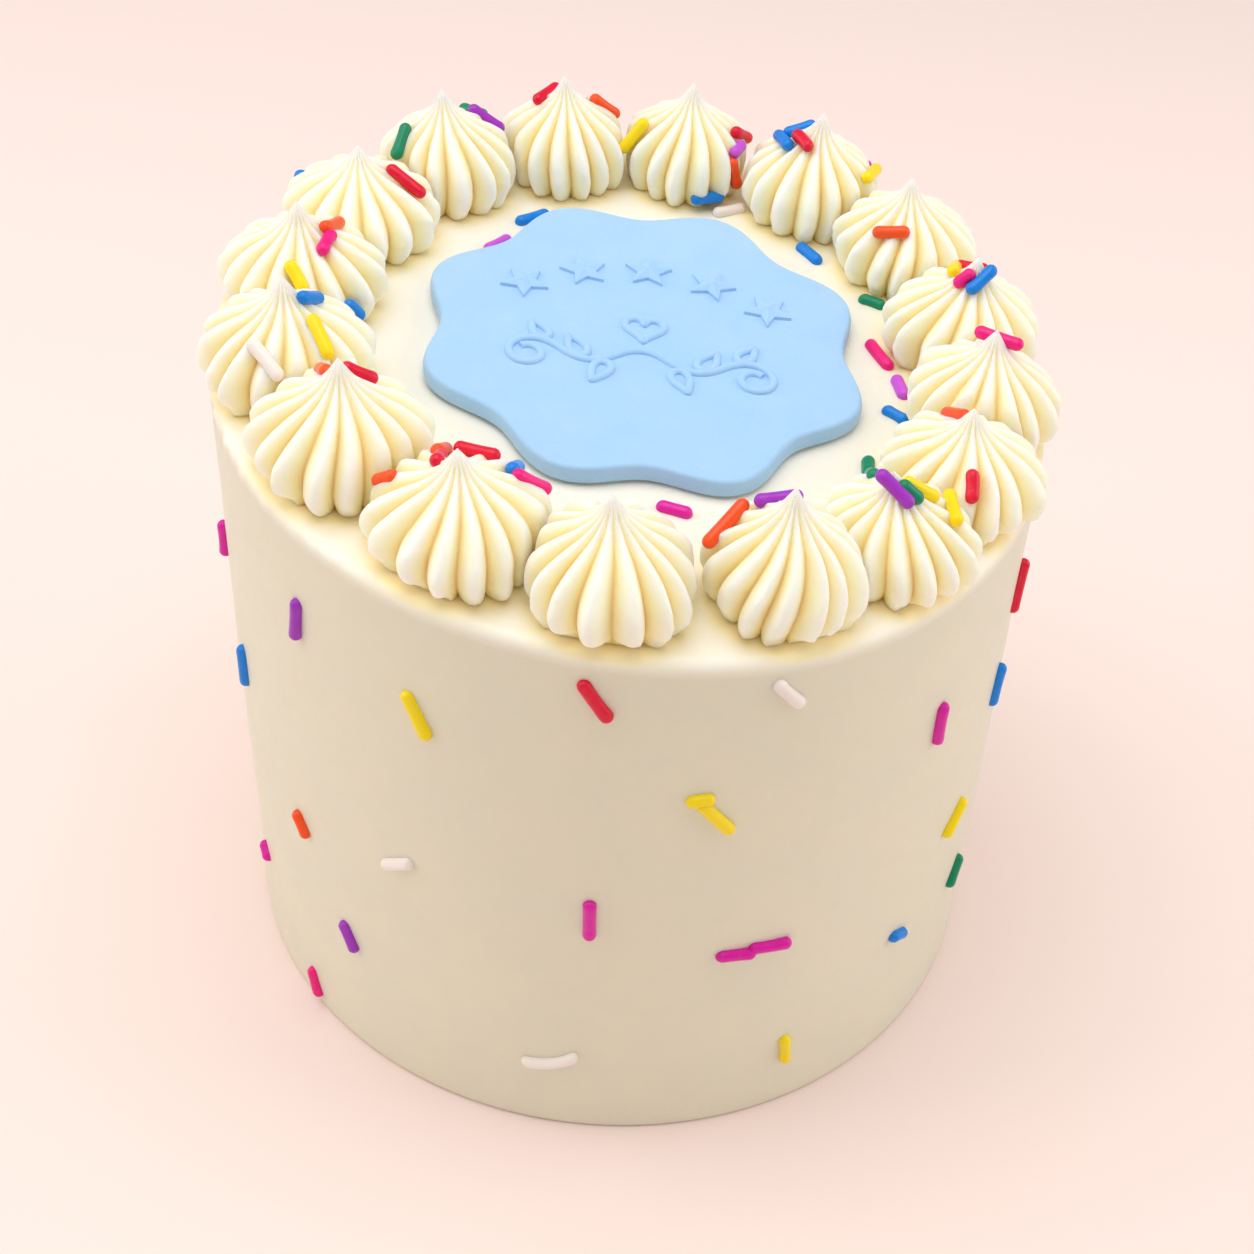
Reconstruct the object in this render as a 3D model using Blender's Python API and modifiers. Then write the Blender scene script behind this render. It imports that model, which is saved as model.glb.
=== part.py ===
"""Tall iced birthday cake with a ring of piped swirls, a scalloped plaque and sugar sprinkles."""

import math
import random
from dataclasses import dataclass

import bmesh
import bpy
from mathutils import Matrix, Vector

# Driving dimensions of the iced cake, in metres
CAKE_HEIGHT = 0.141
BASE_RADIUS = 0.0822
TOP_RADIUS = 0.0827
RIM_ROUNDING = 0.0022
FOOT_ROUNDING = 0.0012
CAKE_STEPS = 60

# The hand-spread top: how far it leans, slopes and twists
TOP_SHIFT = Vector((-0.0030, -0.0025))
TOP_SLOPE_X = -0.0645
TOP_SLOPE_Y = 0.048
TOP_TWIST = 0.0014
TOP_TWIST_BEARING = math.radians(5)
SIDE_WAVE = 0.0004

# Piped swirls
RING_RADIUS = 0.0685
SWIRL_RIDGES = 15
SWIRL_SEED = 41
RIDGE_UNEVENNESS = 0.05
RIDGE_WANDER = 0.18
RIDGE_DEPTH = 0.20
NECK_RIDGE_DEPTH = 0.30
PRESS_START = 0.82
REST_GAP = 0.0004
NEIGHBOUR_GAP = 0.0002
EDGE_MARGIN = 0.0012

# Sugar sprinkles
SPRINKLE_RADIUS = 0.0014
SPRINKLE_SIDES = 5
SPRINKLE_RINGS = 3
SPRINKLE_SINK = 0.22
SPRINKLE_SEED = 7
HIDDEN_SIDE_START = 2
HIDDEN_SIDE_TURN = 184
HIDDEN_SIDE_COUNT = 13
FIRST_HIDDEN_SWIRL = 7
LAST_HIDDEN_SWIRL = 12
GOLDEN_SHARE = 0.618

# Plaque
PLAQUE_RADIUS = 0.0427
PLAQUE_WAVE = 0.0026
PLAQUE_LOBES = 8
PLAQUE_FIRST_LOBE = math.radians(26)
PLAQUE_CENTRE = Vector((-0.0008, 0.0019))
PLAQUE_THICKNESS = 0.0039
PLAQUE_ROUNDING = 0.0008
PLAQUE_STEPS = 80

MERGE = 0.00001

# Height share and radius share of a swirl, from its tip down to its foot
SWIRL_PROFILE = (
    (1.00, 0.00),
    (0.90, 0.09),
    (0.80, 0.19),
    (0.70, 0.38),
    (0.59, 0.66),
    (0.44, 0.91),
    (0.19, 1.00),
    (0.00, 0.86),
    (0.00, 0.00),
)


@dataclass(frozen=True)
class Swirl:
    """One hand-piped swirl: sizes in millimetres and degrees."""

    bearing: float
    radius: float
    height: float
    lean: float = 0.0
    twist: float = 8.0
    pull: float = 0.0


SWIRLS = (
    Swirl(-90.5, 16.3, 23.7, lean=-0.4, twist=6),
    Swirl(-64.0, 15.7, 25.0, lean=0.2, twist=20),
    Swirl(-43.0, 15.4, 20.5, lean=-3.0, twist=6, pull=1.5),
    Swirl(-22.5, 16.3, 20.0, lean=-0.2, twist=4, pull=1.0),
    Swirl(-4.5, 15.8, 22.5, twist=6, pull=1.0),
    Swirl(15.0, 16.2, 22.0, lean=1.2, twist=8),
    Swirl(38.0, 15.6, 21.5, lean=-0.6, twist=6, pull=2.0),
    Swirl(60.0, 15.6, 23.3, lean=1.5, twist=8, pull=2.0),
    Swirl(83.5, 14.7, 22.3, lean=1.1, twist=6, pull=1.0),
    Swirl(105.0, 14.5, 22.6, lean=-0.9, twist=4),
    Swirl(127.5, 15.1, 22.9, lean=-1.6, twist=-4, pull=0.5),
    Swirl(149.0, 17.2, 19.5, lean=-0.5, twist=-6, pull=-1.0),
    Swirl(173.0, 16.8, 21.8, lean=-0.4, twist=-4, pull=-2.0),
    Swirl(197.0, 17.2, 23.5, lean=-0.5, twist=5, pull=-1.5),
    Swirl(220.0, 17.4, 23.9, lean=0.2, twist=6, pull=-2.0),
    Swirl(245.5, 17.6, 21.9, lean=-0.3, twist=4, pull=-2.0),
)


@dataclass(frozen=True)
class SideSprinkle:
    """A sprinkle on the side: degrees round the cake and millimetres."""

    bearing: float
    height: float
    length: float
    tilt: float


@dataclass(frozen=True)
class TopSprinkle:
    """A sprinkle on the flat of the top: millimetres and degrees."""

    x: float
    y: float
    length: float
    heading: float


@dataclass(frozen=True)
class SwirlSprinkle:
    """A sprinkle on a swirl: degrees round its axis, a share of its height, and millimetres."""

    swirl: int
    bearing: float
    share: float
    length: float
    turn: float


SIDE_SPRINKLES = (
    SideSprinkle(-165.0, 105.0, 8.5, 5),
    SideSprinkle(-156.0, 82.0, 10.0, 8),
    SideSprinkle(-134.5, 120.0, 10.5, -7),
    SideSprinkle(-115.0, 114.0, 11.0, 26),
    SideSprinkle(-93.0, 127.5, 10.5, 32),
    SideSprinkle(-69.5, 126.5, 9.0, 40),
    SideSprinkle(-41.5, 99.0, 11.0, 2),
    SideSprinkle(-16.0, 108.0, 12.0, -18),
    SideSprinkle(-20.0, 86.0, 10.0, -16),
    SideSprinkle(-77.0, 97.0, 11.5, 38),
    SideSprinkle(-79.2, 101.8, 5.5, 94),
    SideSprinkle(-29.5, 59.0, 9.5, -50),
    SideSprinkle(-22.5, 33.0, 8.0, -40),
    SideSprinkle(-138.5, 59.0, 6.5, 41),
    SideSprinkle(-156.5, 25.0, 5.0, 60),
    SideSprinkle(-119.0, 69.5, 8.5, 123),
    SideSprinkle(-92.0, 69.0, 11.0, 2),
    SideSprinkle(-129.0, 36.0, 8.0, 28),
    SideSprinkle(-71.6, 55.4, 8.5, 83),
    SideSprinkle(-66.5, 55.6, 9.5, 82),
    SideSprinkle(-40.6, 35.4, 6.0, 68),
    SideSprinkle(-139.0, 7.0, 8.0, 20),
    SideSprinkle(-96.4, 23.0, 12.5, 112),
    SideSprinkle(-61.2, 18.5, 9.0, 7),
)

TOP_SPRINKLES = (
    TopSprinkle(15.6, 54.6, 8.0, 30),
    TopSprinkle(32.9, 41.9, 7.5, -50),
    TopSprinkle(46.0, 27.4, 6.0, -20),
    TopSprinkle(47.1, 10.2, 9.5, -62),
    TopSprinkle(51.0, 0.6, 7.0, -75),
    TopSprinkle(49.6, -8.4, 6.0, -35),
    TopSprinkle(44.0, -25.0, 6.0, -90),
    TopSprinkle(7.2, -44.7, 7.0, -12),
    TopSprinkle(-26.2, 43.6, 8.5, 38),
    TopSprinkle(-32.6, 32.4, 7.5, 50),
)

SWIRL_SPRINKLES = (
    SwirlSprinkle(10, 150, 0.72, 8.5, -95),
    SwirlSprinkle(10, 32, 0.57, 8.7, -5),
    SwirlSprinkle(11, 40, 0.56, 9.0, -40),
    SwirlSprinkle(11, 62, 0.56, 8.0, 75),
    SwirlSprinkle(11, -149, 0.55, 8.3, 30),
    SwirlSprinkle(12, -2, 0.62, 9.8, -18),
    SwirlSprinkle(9, -64, 0.11, 8.0, 84),
    SwirlSprinkle(9, -161, 0.47, 9.0, 4),
    SwirlSprinkle(9, 2, 0.47, 8.0, 40),
    SwirlSprinkle(9, -24, 0.46, 5.5, 92),
    SwirlSprinkle(9, -34, 0.27, 8.0, 18),
    SwirlSprinkle(8, 175, 0.66, 8.8, 114),
    SwirlSprinkle(8, -143, 0.75, 6.8, 82),
    SwirlSprinkle(8, 130, 0.70, 7.5, 60),
    SwirlSprinkle(8, -8, 0.47, 9.5, 72),
    SwirlSprinkle(7, -116, 0.61, 7.8, 111),
    SwirlSprinkle(6, 120, 0.70, 10.5, -40),
    SwirlSprinkle(6, 85, 0.68, 7.5, 60),
    SwirlSprinkle(6, -136, 0.81, 5.0, -20),
    SwirlSprinkle(6, -66, 0.83, 8.0, 122),
    SwirlSprinkle(5, 65, 0.84, 10.0, 90),
    SwirlSprinkle(4, 116, 0.71, 8.5, 2),
    SwirlSprinkle(3, -100, 0.87, 9.0, 50),
    SwirlSprinkle(3, -28, 0.82, 6.0, 15),
    SwirlSprinkle(3, 24, 0.74, 8.5, -8),
    SwirlSprinkle(3, 12, 0.57, 10.0, -98),
    SwirlSprinkle(3, 114, 0.52, 8.0, -15),
    SwirlSprinkle(4, -90, 0.54, 6.6, 1),
    SwirlSprinkle(2, 110, 0.68, 9.0, -95),
    SwirlSprinkle(2, 168, 0.53, 11.5, 52),
    SwirlSprinkle(16, 46, 0.52, 8.0, 30),
    SwirlSprinkle(16, 30, 0.48, 9.5, 0),
    SwirlSprinkle(16, 110, 0.54, 8.5, -25),
    SwirlSprinkle(16, 132, 0.72, 6.0, -42),
    SwirlSprinkle(16, 80, 0.56, 9.0, -100),
    SwirlSprinkle(16, 167, 0.50, 6.0, -10),
    SwirlSprinkle(15, 124, 0.70, 9.0, -12),
    SwirlSprinkle(15, 56, 0.73, 7.5, -35),
    SwirlSprinkle(14, -38, 0.62, 9.3, -15),
    SwirlSprinkle(14, 25, 0.74, 8.0, 35),
    SwirlSprinkle(14, -98, 0.54, 9.7, 49),
    SwirlSprinkle(13, -84, 0.55, 7.0, 29),
    SwirlSprinkle(13, -41, 0.24, 5.8, 34),
    SwirlSprinkle(13, -28, 0.68, 6.8, 108),
    SwirlSprinkle(13, 30, 0.68, 9.6, 42),
)


def clear_scene():
    """Remove every object that the new file starts with."""
    for found in list(bpy.data.objects):
        bpy.data.objects.remove(found, do_unlink=True)


def make_collection(name):
    """Return a new collection linked to the scene."""
    collection = bpy.data.collections.new(name)
    bpy.context.scene.collection.children.link(collection)
    return collection


def make_material(name, colour, roughness, subsurface=0.0):
    """Return a Principled material with one plain colour."""
    material = bpy.data.materials.new(name)
    material.use_nodes = True
    shader = material.node_tree.nodes["Principled BSDF"]
    shader.inputs["Base Color"].default_value = (*colour, 1.0)
    shader.inputs["Roughness"].default_value = roughness
    shader.inputs["Subsurface Weight"].default_value = subsurface
    return material


def evaluated_mesh(source):
    """Return a new mesh with the object's modifiers applied."""
    bpy.context.view_layer.update()
    graph = bpy.context.evaluated_depsgraph_get()
    return bpy.data.meshes.new_from_object(source.evaluated_get(graph))


def turned_mesh(name, profile, steps):
    """Turn a profile of (radius, height) points, listed from top to bottom, about Z."""
    mesh = bpy.data.meshes.new(name)
    outline = bmesh.new()
    points = [outline.verts.new((radius, 0.0, height)) for radius, height in profile]
    for upper, lower in zip(points, points[1:]):
        outline.edges.new((upper, lower))
    outline.to_mesh(mesh)
    outline.free()
    turned = bpy.data.objects.new(name, mesh)
    bpy.context.scene.collection.objects.link(turned)
    screw = turned.modifiers.new("turn", "SCREW")
    screw.angle = 2 * math.pi
    screw.steps = steps
    screw.render_steps = steps
    screw.use_merge_vertices = True
    screw.merge_threshold = MERGE
    result = evaluated_mesh(turned)
    bpy.data.objects.remove(turned, do_unlink=True)
    return result


def add_part(name, mesh, material, collection):
    """Put a mesh in the scene as one named part."""
    mesh.materials.clear()
    mesh.materials.append(material)
    mesh.shade_smooth()
    mesh.set_sharp_from_angle(angle=math.radians(40))
    part = bpy.data.objects.new(name, mesh)
    collection.objects.link(part)
    return part


def top_height(x, y):
    """Height of the iced top above the table, at a place on the cake."""
    radius = math.hypot(x - TOP_SHIFT.x, y - TOP_SHIFT.y)
    bearing = math.atan2(y - TOP_SHIFT.y, x - TOP_SHIFT.x)
    twist = TOP_TWIST * math.sin(2 * (bearing - TOP_TWIST_BEARING)) * (radius / TOP_RADIUS) ** 2
    return CAKE_HEIGHT + TOP_SLOPE_X * x + TOP_SLOPE_Y * y + twist


def side_radius(share):
    """Return the radius of the cake at a share of its height."""
    return BASE_RADIUS + (TOP_RADIUS - BASE_RADIUS) * share


def cake_profile():
    """Return the upright profile of the cake, from the middle of the top to the base."""
    profile = [(0.0, CAKE_HEIGHT), (TOP_RADIUS * 0.6, CAKE_HEIGHT)]
    for turn in (0, 45, 90):
        angle = math.radians(turn)
        radius = TOP_RADIUS - RIM_ROUNDING * (1 - math.sin(angle))
        height = CAKE_HEIGHT - RIM_ROUNDING * (1 - math.cos(angle))
        profile.append((radius, height))
    for share in (0.7, 0.4, 0.15):
        profile.append((side_radius(share), CAKE_HEIGHT * share))
    profile.append((BASE_RADIUS, FOOT_ROUNDING))
    profile.append((BASE_RADIUS - FOOT_ROUNDING, 0.0))
    profile.append((0.0, 0.0))
    return profile


def spread_by_hand(point):
    """Move a point of the turned cake to its place on the leaning, uneven one."""
    share = point.z / CAKE_HEIGHT
    radius = math.hypot(point.x, point.y)
    bearing = math.atan2(point.y, point.x)
    wave = math.sin(3 * bearing + 1.0) + 0.6 * math.sin(5 * bearing + 7 * share)
    radius += SIDE_WAVE * wave * (radius / TOP_RADIUS) ** 2 * min(1.0, share * 8)
    x = radius * math.cos(bearing) + TOP_SHIFT.x * share
    y = radius * math.sin(bearing) + TOP_SHIFT.y * share
    return Vector((x, y, share * top_height(x, y)))


def build_cake(collection):
    """Make the solid iced cake."""
    mesh = turned_mesh("cake", cake_profile(), CAKE_STEPS)
    for vertex in mesh.vertices:
        vertex.co = spread_by_hand(vertex.co)
    icing = make_material("side_icing", (0.86, 0.78, 0.66), 0.5, 0.1)
    return add_part("cake", mesh, icing, collection)


def swirl_centre(swirl):
    """Return the place of a swirl's axis on the top."""
    bearing = math.radians(swirl.bearing)
    ring = RING_RADIUS + swirl.pull / 1000
    return TOP_SHIFT + Vector((ring * math.cos(bearing), ring * math.sin(bearing)))


def ridge_draws(number):
    """Return each ridge's bearing in turns and its size share, drawn from the swirl's seed."""
    draw = random.Random(SWIRL_SEED + number)
    ridges = []
    for ridge in range(SWIRL_RIDGES):
        wander = draw.uniform(-RIDGE_WANDER, RIDGE_WANDER)
        size = 1.0 + draw.uniform(-RIDGE_UNEVENNESS, RIDGE_UNEVENNESS)
        ridges.append(((ridge + wander) / SWIRL_RIDGES, size))
    return ridges


def press_against(offset, direction, limit):
    """Flatten an offset that reaches past a neighbour's side, easing up to the limit."""
    start = limit * PRESS_START
    reach = offset.dot(direction)
    if reach <= start:
        return offset
    eased = start + (limit - start) * math.tanh((reach - start) / (limit - start))
    return offset + direction * (eased - reach)


def keep_on_top(place):
    """Pull a foot point in, so that it stays on the flat of the top."""
    out = place - TOP_SHIFT
    limit = TOP_RADIUS - RIM_ROUNDING - EDGE_MARGIN
    if out.length > limit:
        out = out * (limit / out.length)
    return TOP_SHIFT + out


def ridged(number, turn_share, share, radius_share):
    """Return the bearing and reach of a ridged swirl's skin, before it meets its neighbours."""
    swirl = SWIRLS[number]
    ridges = ridge_draws(number)
    place = turn_share * SWIRL_RIDGES
    ridge = int(place) % SWIRL_RIDGES
    part = place - int(place)
    after = (ridge + 1) % SWIRL_RIDGES
    start, size = ridges[ridge]
    end, next_size = ridges[after]
    if after == 0:
        end += 1.0
    groove = 1 - abs(math.cos(math.pi * part))
    depth = RIDGE_DEPTH + (NECK_RIDGE_DEPTH - RIDGE_DEPTH) * share
    bearing = 2 * math.pi * (start + (end - start) * part) + math.radians(swirl.twist) * share
    ridge_size = size + (next_size - size) * part
    reach = swirl.radius / 1000 * radius_share * ridge_size * (1 - depth * groove)
    return bearing, reach


def settled(number, bearing, reach, share):
    """Return a swirl's point after it has been pressed, leant and set on the top."""
    swirl = SWIRLS[number]
    offset = Vector((reach * math.cos(bearing), reach * math.sin(bearing)))
    centre = swirl_centre(swirl)
    for step in (-1, 1):
        neighbour = SWIRLS[(number + step) % len(SWIRLS)]
        away = swirl_centre(neighbour) - centre
        split = swirl.radius / (swirl.radius + neighbour.radius)
        limit = away.length * split - NEIGHBOUR_GAP
        offset = press_against(offset, away.normalized(), limit)
    offset.x += swirl.lean / 1000 * share ** 2
    place = centre + offset
    if share == 0:
        place = keep_on_top(place)
    rise = top_height(place.x, place.y) * (1 - share) + top_height(centre.x, centre.y) * share
    return Vector((place.x, place.y, rise + REST_GAP + share * swirl.height / 1000))


def swirl_skin(number, bearing, share):
    """Return a point on a swirl's smooth outline, at a bearing in radians."""
    outline = SWIRL_PROFILE[:-1]
    radius_share = 0.0
    for (upper, near), (lower, far) in zip(outline, outline[1:]):
        if lower <= share <= upper:
            radius_share = near + (far - near) * (upper - share) / (upper - lower)
    reach = SWIRLS[number].radius / 1000 * radius_share * (1 - RIDGE_DEPTH / 3)
    return settled(number, bearing, reach, share)


def build_swirl(number, icing, collection):
    """Make one piped swirl with its ridges."""
    name = f"swirl_{number + 1:02d}"
    profile = [(radius, share) for share, radius in SWIRL_PROFILE]
    steps = 2 * SWIRL_RIDGES
    mesh = turned_mesh(name, profile, steps)
    for vertex in mesh.vertices:
        share = vertex.co.z
        radius_share = math.hypot(vertex.co.x, vertex.co.y)
        bearing = math.atan2(vertex.co.y, vertex.co.x) % (2 * math.pi)
        column = round(bearing / (2 * math.pi) * steps) % steps
        ridge_bearing, reach = ridged(number, column / steps, share, radius_share)
        vertex.co = settled(number, ridge_bearing, reach, share)
    return add_part(name, mesh, icing, collection)


def plaque_radius(bearing):
    """Return how far the plaque's wavy edge is from its middle."""
    return PLAQUE_RADIUS + PLAQUE_WAVE * math.cos(PLAQUE_LOBES * (bearing - PLAQUE_FIRST_LOBE))


def build_plaque(collection):
    """Make the scalloped plaque that lies on the middle of the top."""
    mesh = bpy.data.meshes.new("plaque")
    slab = bmesh.new()
    bmesh.ops.create_circle(slab, cap_ends=True, segments=PLAQUE_STEPS, radius=1.0)
    for vertex in slab.verts:
        bearing = math.atan2(vertex.co.y, vertex.co.x)
        vertex.co *= plaque_radius(bearing)
    bmesh.ops.recalc_face_normals(slab, faces=slab.faces)
    raised = bmesh.ops.extrude_face_region(slab, geom=slab.faces[:])
    top = [item for item in raised["geom"] if isinstance(item, bmesh.types.BMVert)]
    bmesh.ops.translate(slab, verts=top, vec=(0.0, 0.0, PLAQUE_THICKNESS))
    rim = [edge for edge in slab.edges if all(vertex in top for vertex in edge.verts)]
    bmesh.ops.bevel(slab, geom=rim, offset=PLAQUE_ROUNDING, segments=1, profile=0.5, affect="EDGES")
    bmesh.ops.recalc_face_normals(slab, faces=slab.faces)
    for vertex in slab.verts:
        vertex.co.x += PLAQUE_CENTRE.x
        vertex.co.y += PLAQUE_CENTRE.y
        vertex.co.z += top_height(vertex.co.x, vertex.co.y) + REST_GAP
    slab.to_mesh(mesh)
    slab.free()
    fondant = make_material("blue_fondant", (0.46, 0.72, 0.93), 0.7)
    return add_part("plaque", mesh, fondant, collection)


def lay_sprinkle(place, along, outward, length, sprinkles):
    """Make one sprinkle whose middle lies at a place, sunk a little into the icing."""
    rod = bmesh.new()
    bmesh.ops.create_uvsphere(
        rod, u_segments=SPRINKLE_SIDES, v_segments=SPRINKLE_RINGS, radius=SPRINKLE_RADIUS
    )
    straight = length / 2000 - SPRINKLE_RADIUS
    widening = 1 / math.sin(math.pi / SPRINKLE_RINGS)
    for vertex in rod.verts:
        vertex.co.x *= widening
        vertex.co.y *= widening
        vertex.co.z += math.copysign(straight, vertex.co.z)
    mesh = bpy.data.meshes.new("sprinkle")
    rod.to_mesh(mesh)
    rod.free()
    side = outward.cross(along).normalized()
    out = along.cross(side).normalized()
    turn = Matrix((out, along.cross(out).normalized(), along.normalized())).transposed().to_4x4()
    middle = place + out * SPRINKLE_RADIUS * SPRINKLE_SINK
    sprinkle = bpy.data.objects.new("sprinkle", mesh)
    sprinkle.matrix_world = Matrix.Translation(middle) @ turn
    sprinkles.objects.link(sprinkle)


def lay_on_side(item, sprinkles):
    """Lay a sprinkle against the side of the cake."""
    bearing = math.radians(item.bearing)
    outward = Vector((math.cos(bearing), math.sin(bearing), 0.0))
    around = Vector((-math.sin(bearing), math.cos(bearing), 0.0))
    rim = outward * TOP_RADIUS
    share = item.height / 1000 / top_height(rim.x, rim.y)
    aim = outward * side_radius(share) - TOP_SHIFT.to_3d() * share
    upright = aim.normalized() * side_radius(share)
    upright.z = share * CAKE_HEIGHT
    place = spread_by_hand(upright)
    tilt = math.radians(item.tilt)
    along = around * math.sin(tilt) - Vector((0.0, 0.0, math.cos(tilt)))
    lay_sprinkle(place, along, outward, item.length, sprinkles)


def lay_on_top(item, sprinkles):
    """Lay a sprinkle on the flat of the top."""
    heading = math.radians(item.heading)
    x = item.x / 1000
    y = item.y / 1000
    along = Vector((math.cos(heading), math.sin(heading), 0.0))
    along.z = along.x * TOP_SLOPE_X + along.y * TOP_SLOPE_Y
    lay_sprinkle(Vector((x, y, top_height(x, y))), along, Vector((0, 0, 1)), item.length, sprinkles)


def lay_on_swirl(item, sprinkles):
    """Lay a sprinkle on the skin of a swirl."""
    number = item.swirl - 1
    bearing = math.radians(item.bearing)
    step = math.radians(3)
    place = swirl_skin(number, bearing, item.share)
    around = swirl_skin(number, bearing + step, item.share) - swirl_skin(number, bearing - step, item.share)
    down = swirl_skin(number, bearing, item.share - 0.04) - swirl_skin(number, bearing, item.share + 0.04)
    outward = down.cross(around).normalized()
    turn = math.radians(item.turn)
    along = down.normalized() * math.cos(turn) + around.normalized() * math.sin(turn)
    lay_sprinkle(place, along, outward, item.length, sprinkles)


def hidden_side_sprinkles():
    """Return sprinkles spread evenly, with a seeded draw, round the rest of the side."""
    draw = random.Random(SPRINKLE_SEED)
    found = []
    for number in range(HIDDEN_SIDE_COUNT):
        share = (number + 0.5 + draw.uniform(-0.25, 0.25)) / HIDDEN_SIDE_COUNT
        bearing = HIDDEN_SIDE_START + HIDDEN_SIDE_TURN * share
        height = 12 + 112 * ((number * GOLDEN_SHARE) % 1.0)
        found.append(SideSprinkle(bearing, height, draw.uniform(7, 11), draw.uniform(-80, 80)))
    return found


def hidden_swirl_sprinkles():
    """Return one sprinkle low on the outer face of each swirl at the back."""
    draw = random.Random(SPRINKLE_SEED + 1)
    found = []
    for number in range(FIRST_HIDDEN_SWIRL, LAST_HIDDEN_SWIRL + 1):
        bearing = SWIRLS[number - 1].bearing + draw.uniform(-20, 20)
        share = draw.uniform(0.24, 0.34)
        found.append(SwirlSprinkle(number, bearing, share, draw.uniform(7, 9), draw.uniform(55, 125)))
    return found


def fuse(part, sprinkles):
    """Join a collection of sprinkles to the part that they lie on."""
    union = part.modifiers.new("sprinkles", "BOOLEAN")
    union.operation = "UNION"
    union.operand_type = "COLLECTION"
    union.collection = sprinkles
    union.solver = "EXACT"
    mesh = evaluated_mesh(part)
    part.modifiers.clear()
    plain = part.data
    part.data = mesh
    bpy.data.meshes.remove(plain)
    for sprinkle in list(sprinkles.objects):
        bpy.data.objects.remove(sprinkle, do_unlink=True)
    bpy.data.collections.remove(sprinkles)


def build():
    """Build the whole cake."""
    clear_scene()
    parts = make_collection("birthday_cake")
    cake = build_cake(parts)
    on_cake = make_collection("cake_sprinkles")
    for item in (*SIDE_SPRINKLES, *hidden_side_sprinkles()):
        lay_on_side(item, on_cake)
    for item in TOP_SPRINKLES:
        lay_on_top(item, on_cake)
    fuse(cake, on_cake)
    piped = make_material("piped_icing", (0.96, 0.88, 0.66), 0.45, 0.15)
    swirl_sprinkles = (*SWIRL_SPRINKLES, *hidden_swirl_sprinkles())
    for number in range(len(SWIRLS)):
        swirl = build_swirl(number, piped, parts)
        on_swirl = make_collection(f"swirl_sprinkles_{number + 1}")
        for item in swirl_sprinkles:
            if item.swirl == number + 1:
                lay_on_swirl(item, on_swirl)
        fuse(swirl, on_swirl)
    build_plaque(parts)


build()
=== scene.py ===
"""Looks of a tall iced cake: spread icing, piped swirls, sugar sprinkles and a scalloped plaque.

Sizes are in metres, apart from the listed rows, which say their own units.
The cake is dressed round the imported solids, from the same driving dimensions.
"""

import logging
import math
import random
from dataclasses import dataclass, field
from enum import Enum

import bmesh
import bpy
import numpy as np
from mathutils import Matrix, Vector, noise

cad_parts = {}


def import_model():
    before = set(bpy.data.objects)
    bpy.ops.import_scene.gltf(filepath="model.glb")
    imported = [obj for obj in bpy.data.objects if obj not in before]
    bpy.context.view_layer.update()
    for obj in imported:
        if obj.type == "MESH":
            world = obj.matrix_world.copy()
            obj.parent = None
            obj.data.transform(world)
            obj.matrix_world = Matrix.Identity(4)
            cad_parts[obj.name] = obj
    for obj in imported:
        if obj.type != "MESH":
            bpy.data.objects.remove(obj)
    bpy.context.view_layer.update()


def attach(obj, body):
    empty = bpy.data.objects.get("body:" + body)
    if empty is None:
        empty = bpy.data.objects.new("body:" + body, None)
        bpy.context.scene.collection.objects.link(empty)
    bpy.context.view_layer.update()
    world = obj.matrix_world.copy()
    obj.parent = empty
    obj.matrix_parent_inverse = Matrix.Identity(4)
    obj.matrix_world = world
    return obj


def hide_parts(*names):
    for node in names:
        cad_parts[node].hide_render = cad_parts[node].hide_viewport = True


BODY = "root"
LOG = logging.getLogger("cake")
Colour = tuple[float, float, float]
Place = tuple[float, float, float]


class SugarTone(Enum):
    """Colours of the sugar sprinkles, as linear red, green and blue."""

    CRIMSON = (0.75, 0.002, 0.033)
    ORANGE = (0.93, 0.085, 0.008)
    YELLOW = (0.98, 0.74, 0.0)
    GREEN = (0.0, 0.24, 0.115)
    BLUE = (0.0, 0.22, 0.74)
    PURPLE = (0.36, 0.03, 0.52)
    MAGENTA = (0.72, 0.004, 0.36)
    PINK = (0.88, 0.006, 0.22)
    LILAC = (0.60, 0.09, 0.70)
    WHITE = (0.90, 0.82, 0.76)


class Slot(Enum):
    """The record's material slots."""

    SIDE_ICING = "side_icing"
    PIPED_ICING = "piped_icing"
    FONDANT = "blue_fondant"


@dataclass(frozen=True)
class SwirlRow:
    """One hand-piped swirl: degrees and millimetres."""

    bearing: float
    radius: float
    height: float
    lean: float = 0.0
    twist: float = 8.0
    pull: float = 0.0


@dataclass(frozen=True)
class SideRow:
    """A sprinkle on the side: degrees round the cake, millimetres, and its bend."""

    tone: SugarTone
    bearing: float
    height: float
    length: float
    tilt: float
    bend: float = 0.0


@dataclass(frozen=True)
class TopRow:
    """A sprinkle on the flat of the top: millimetres and degrees."""

    tone: SugarTone
    x: float
    y: float
    length: float
    heading: float


@dataclass(frozen=True)
class SwirlSugarRow:
    """A sprinkle on a swirl: degrees round its axis, a share of its height, and millimetres."""

    tone: SugarTone
    swirl: int
    bearing: float
    share: float
    length: float
    turn: float


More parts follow.
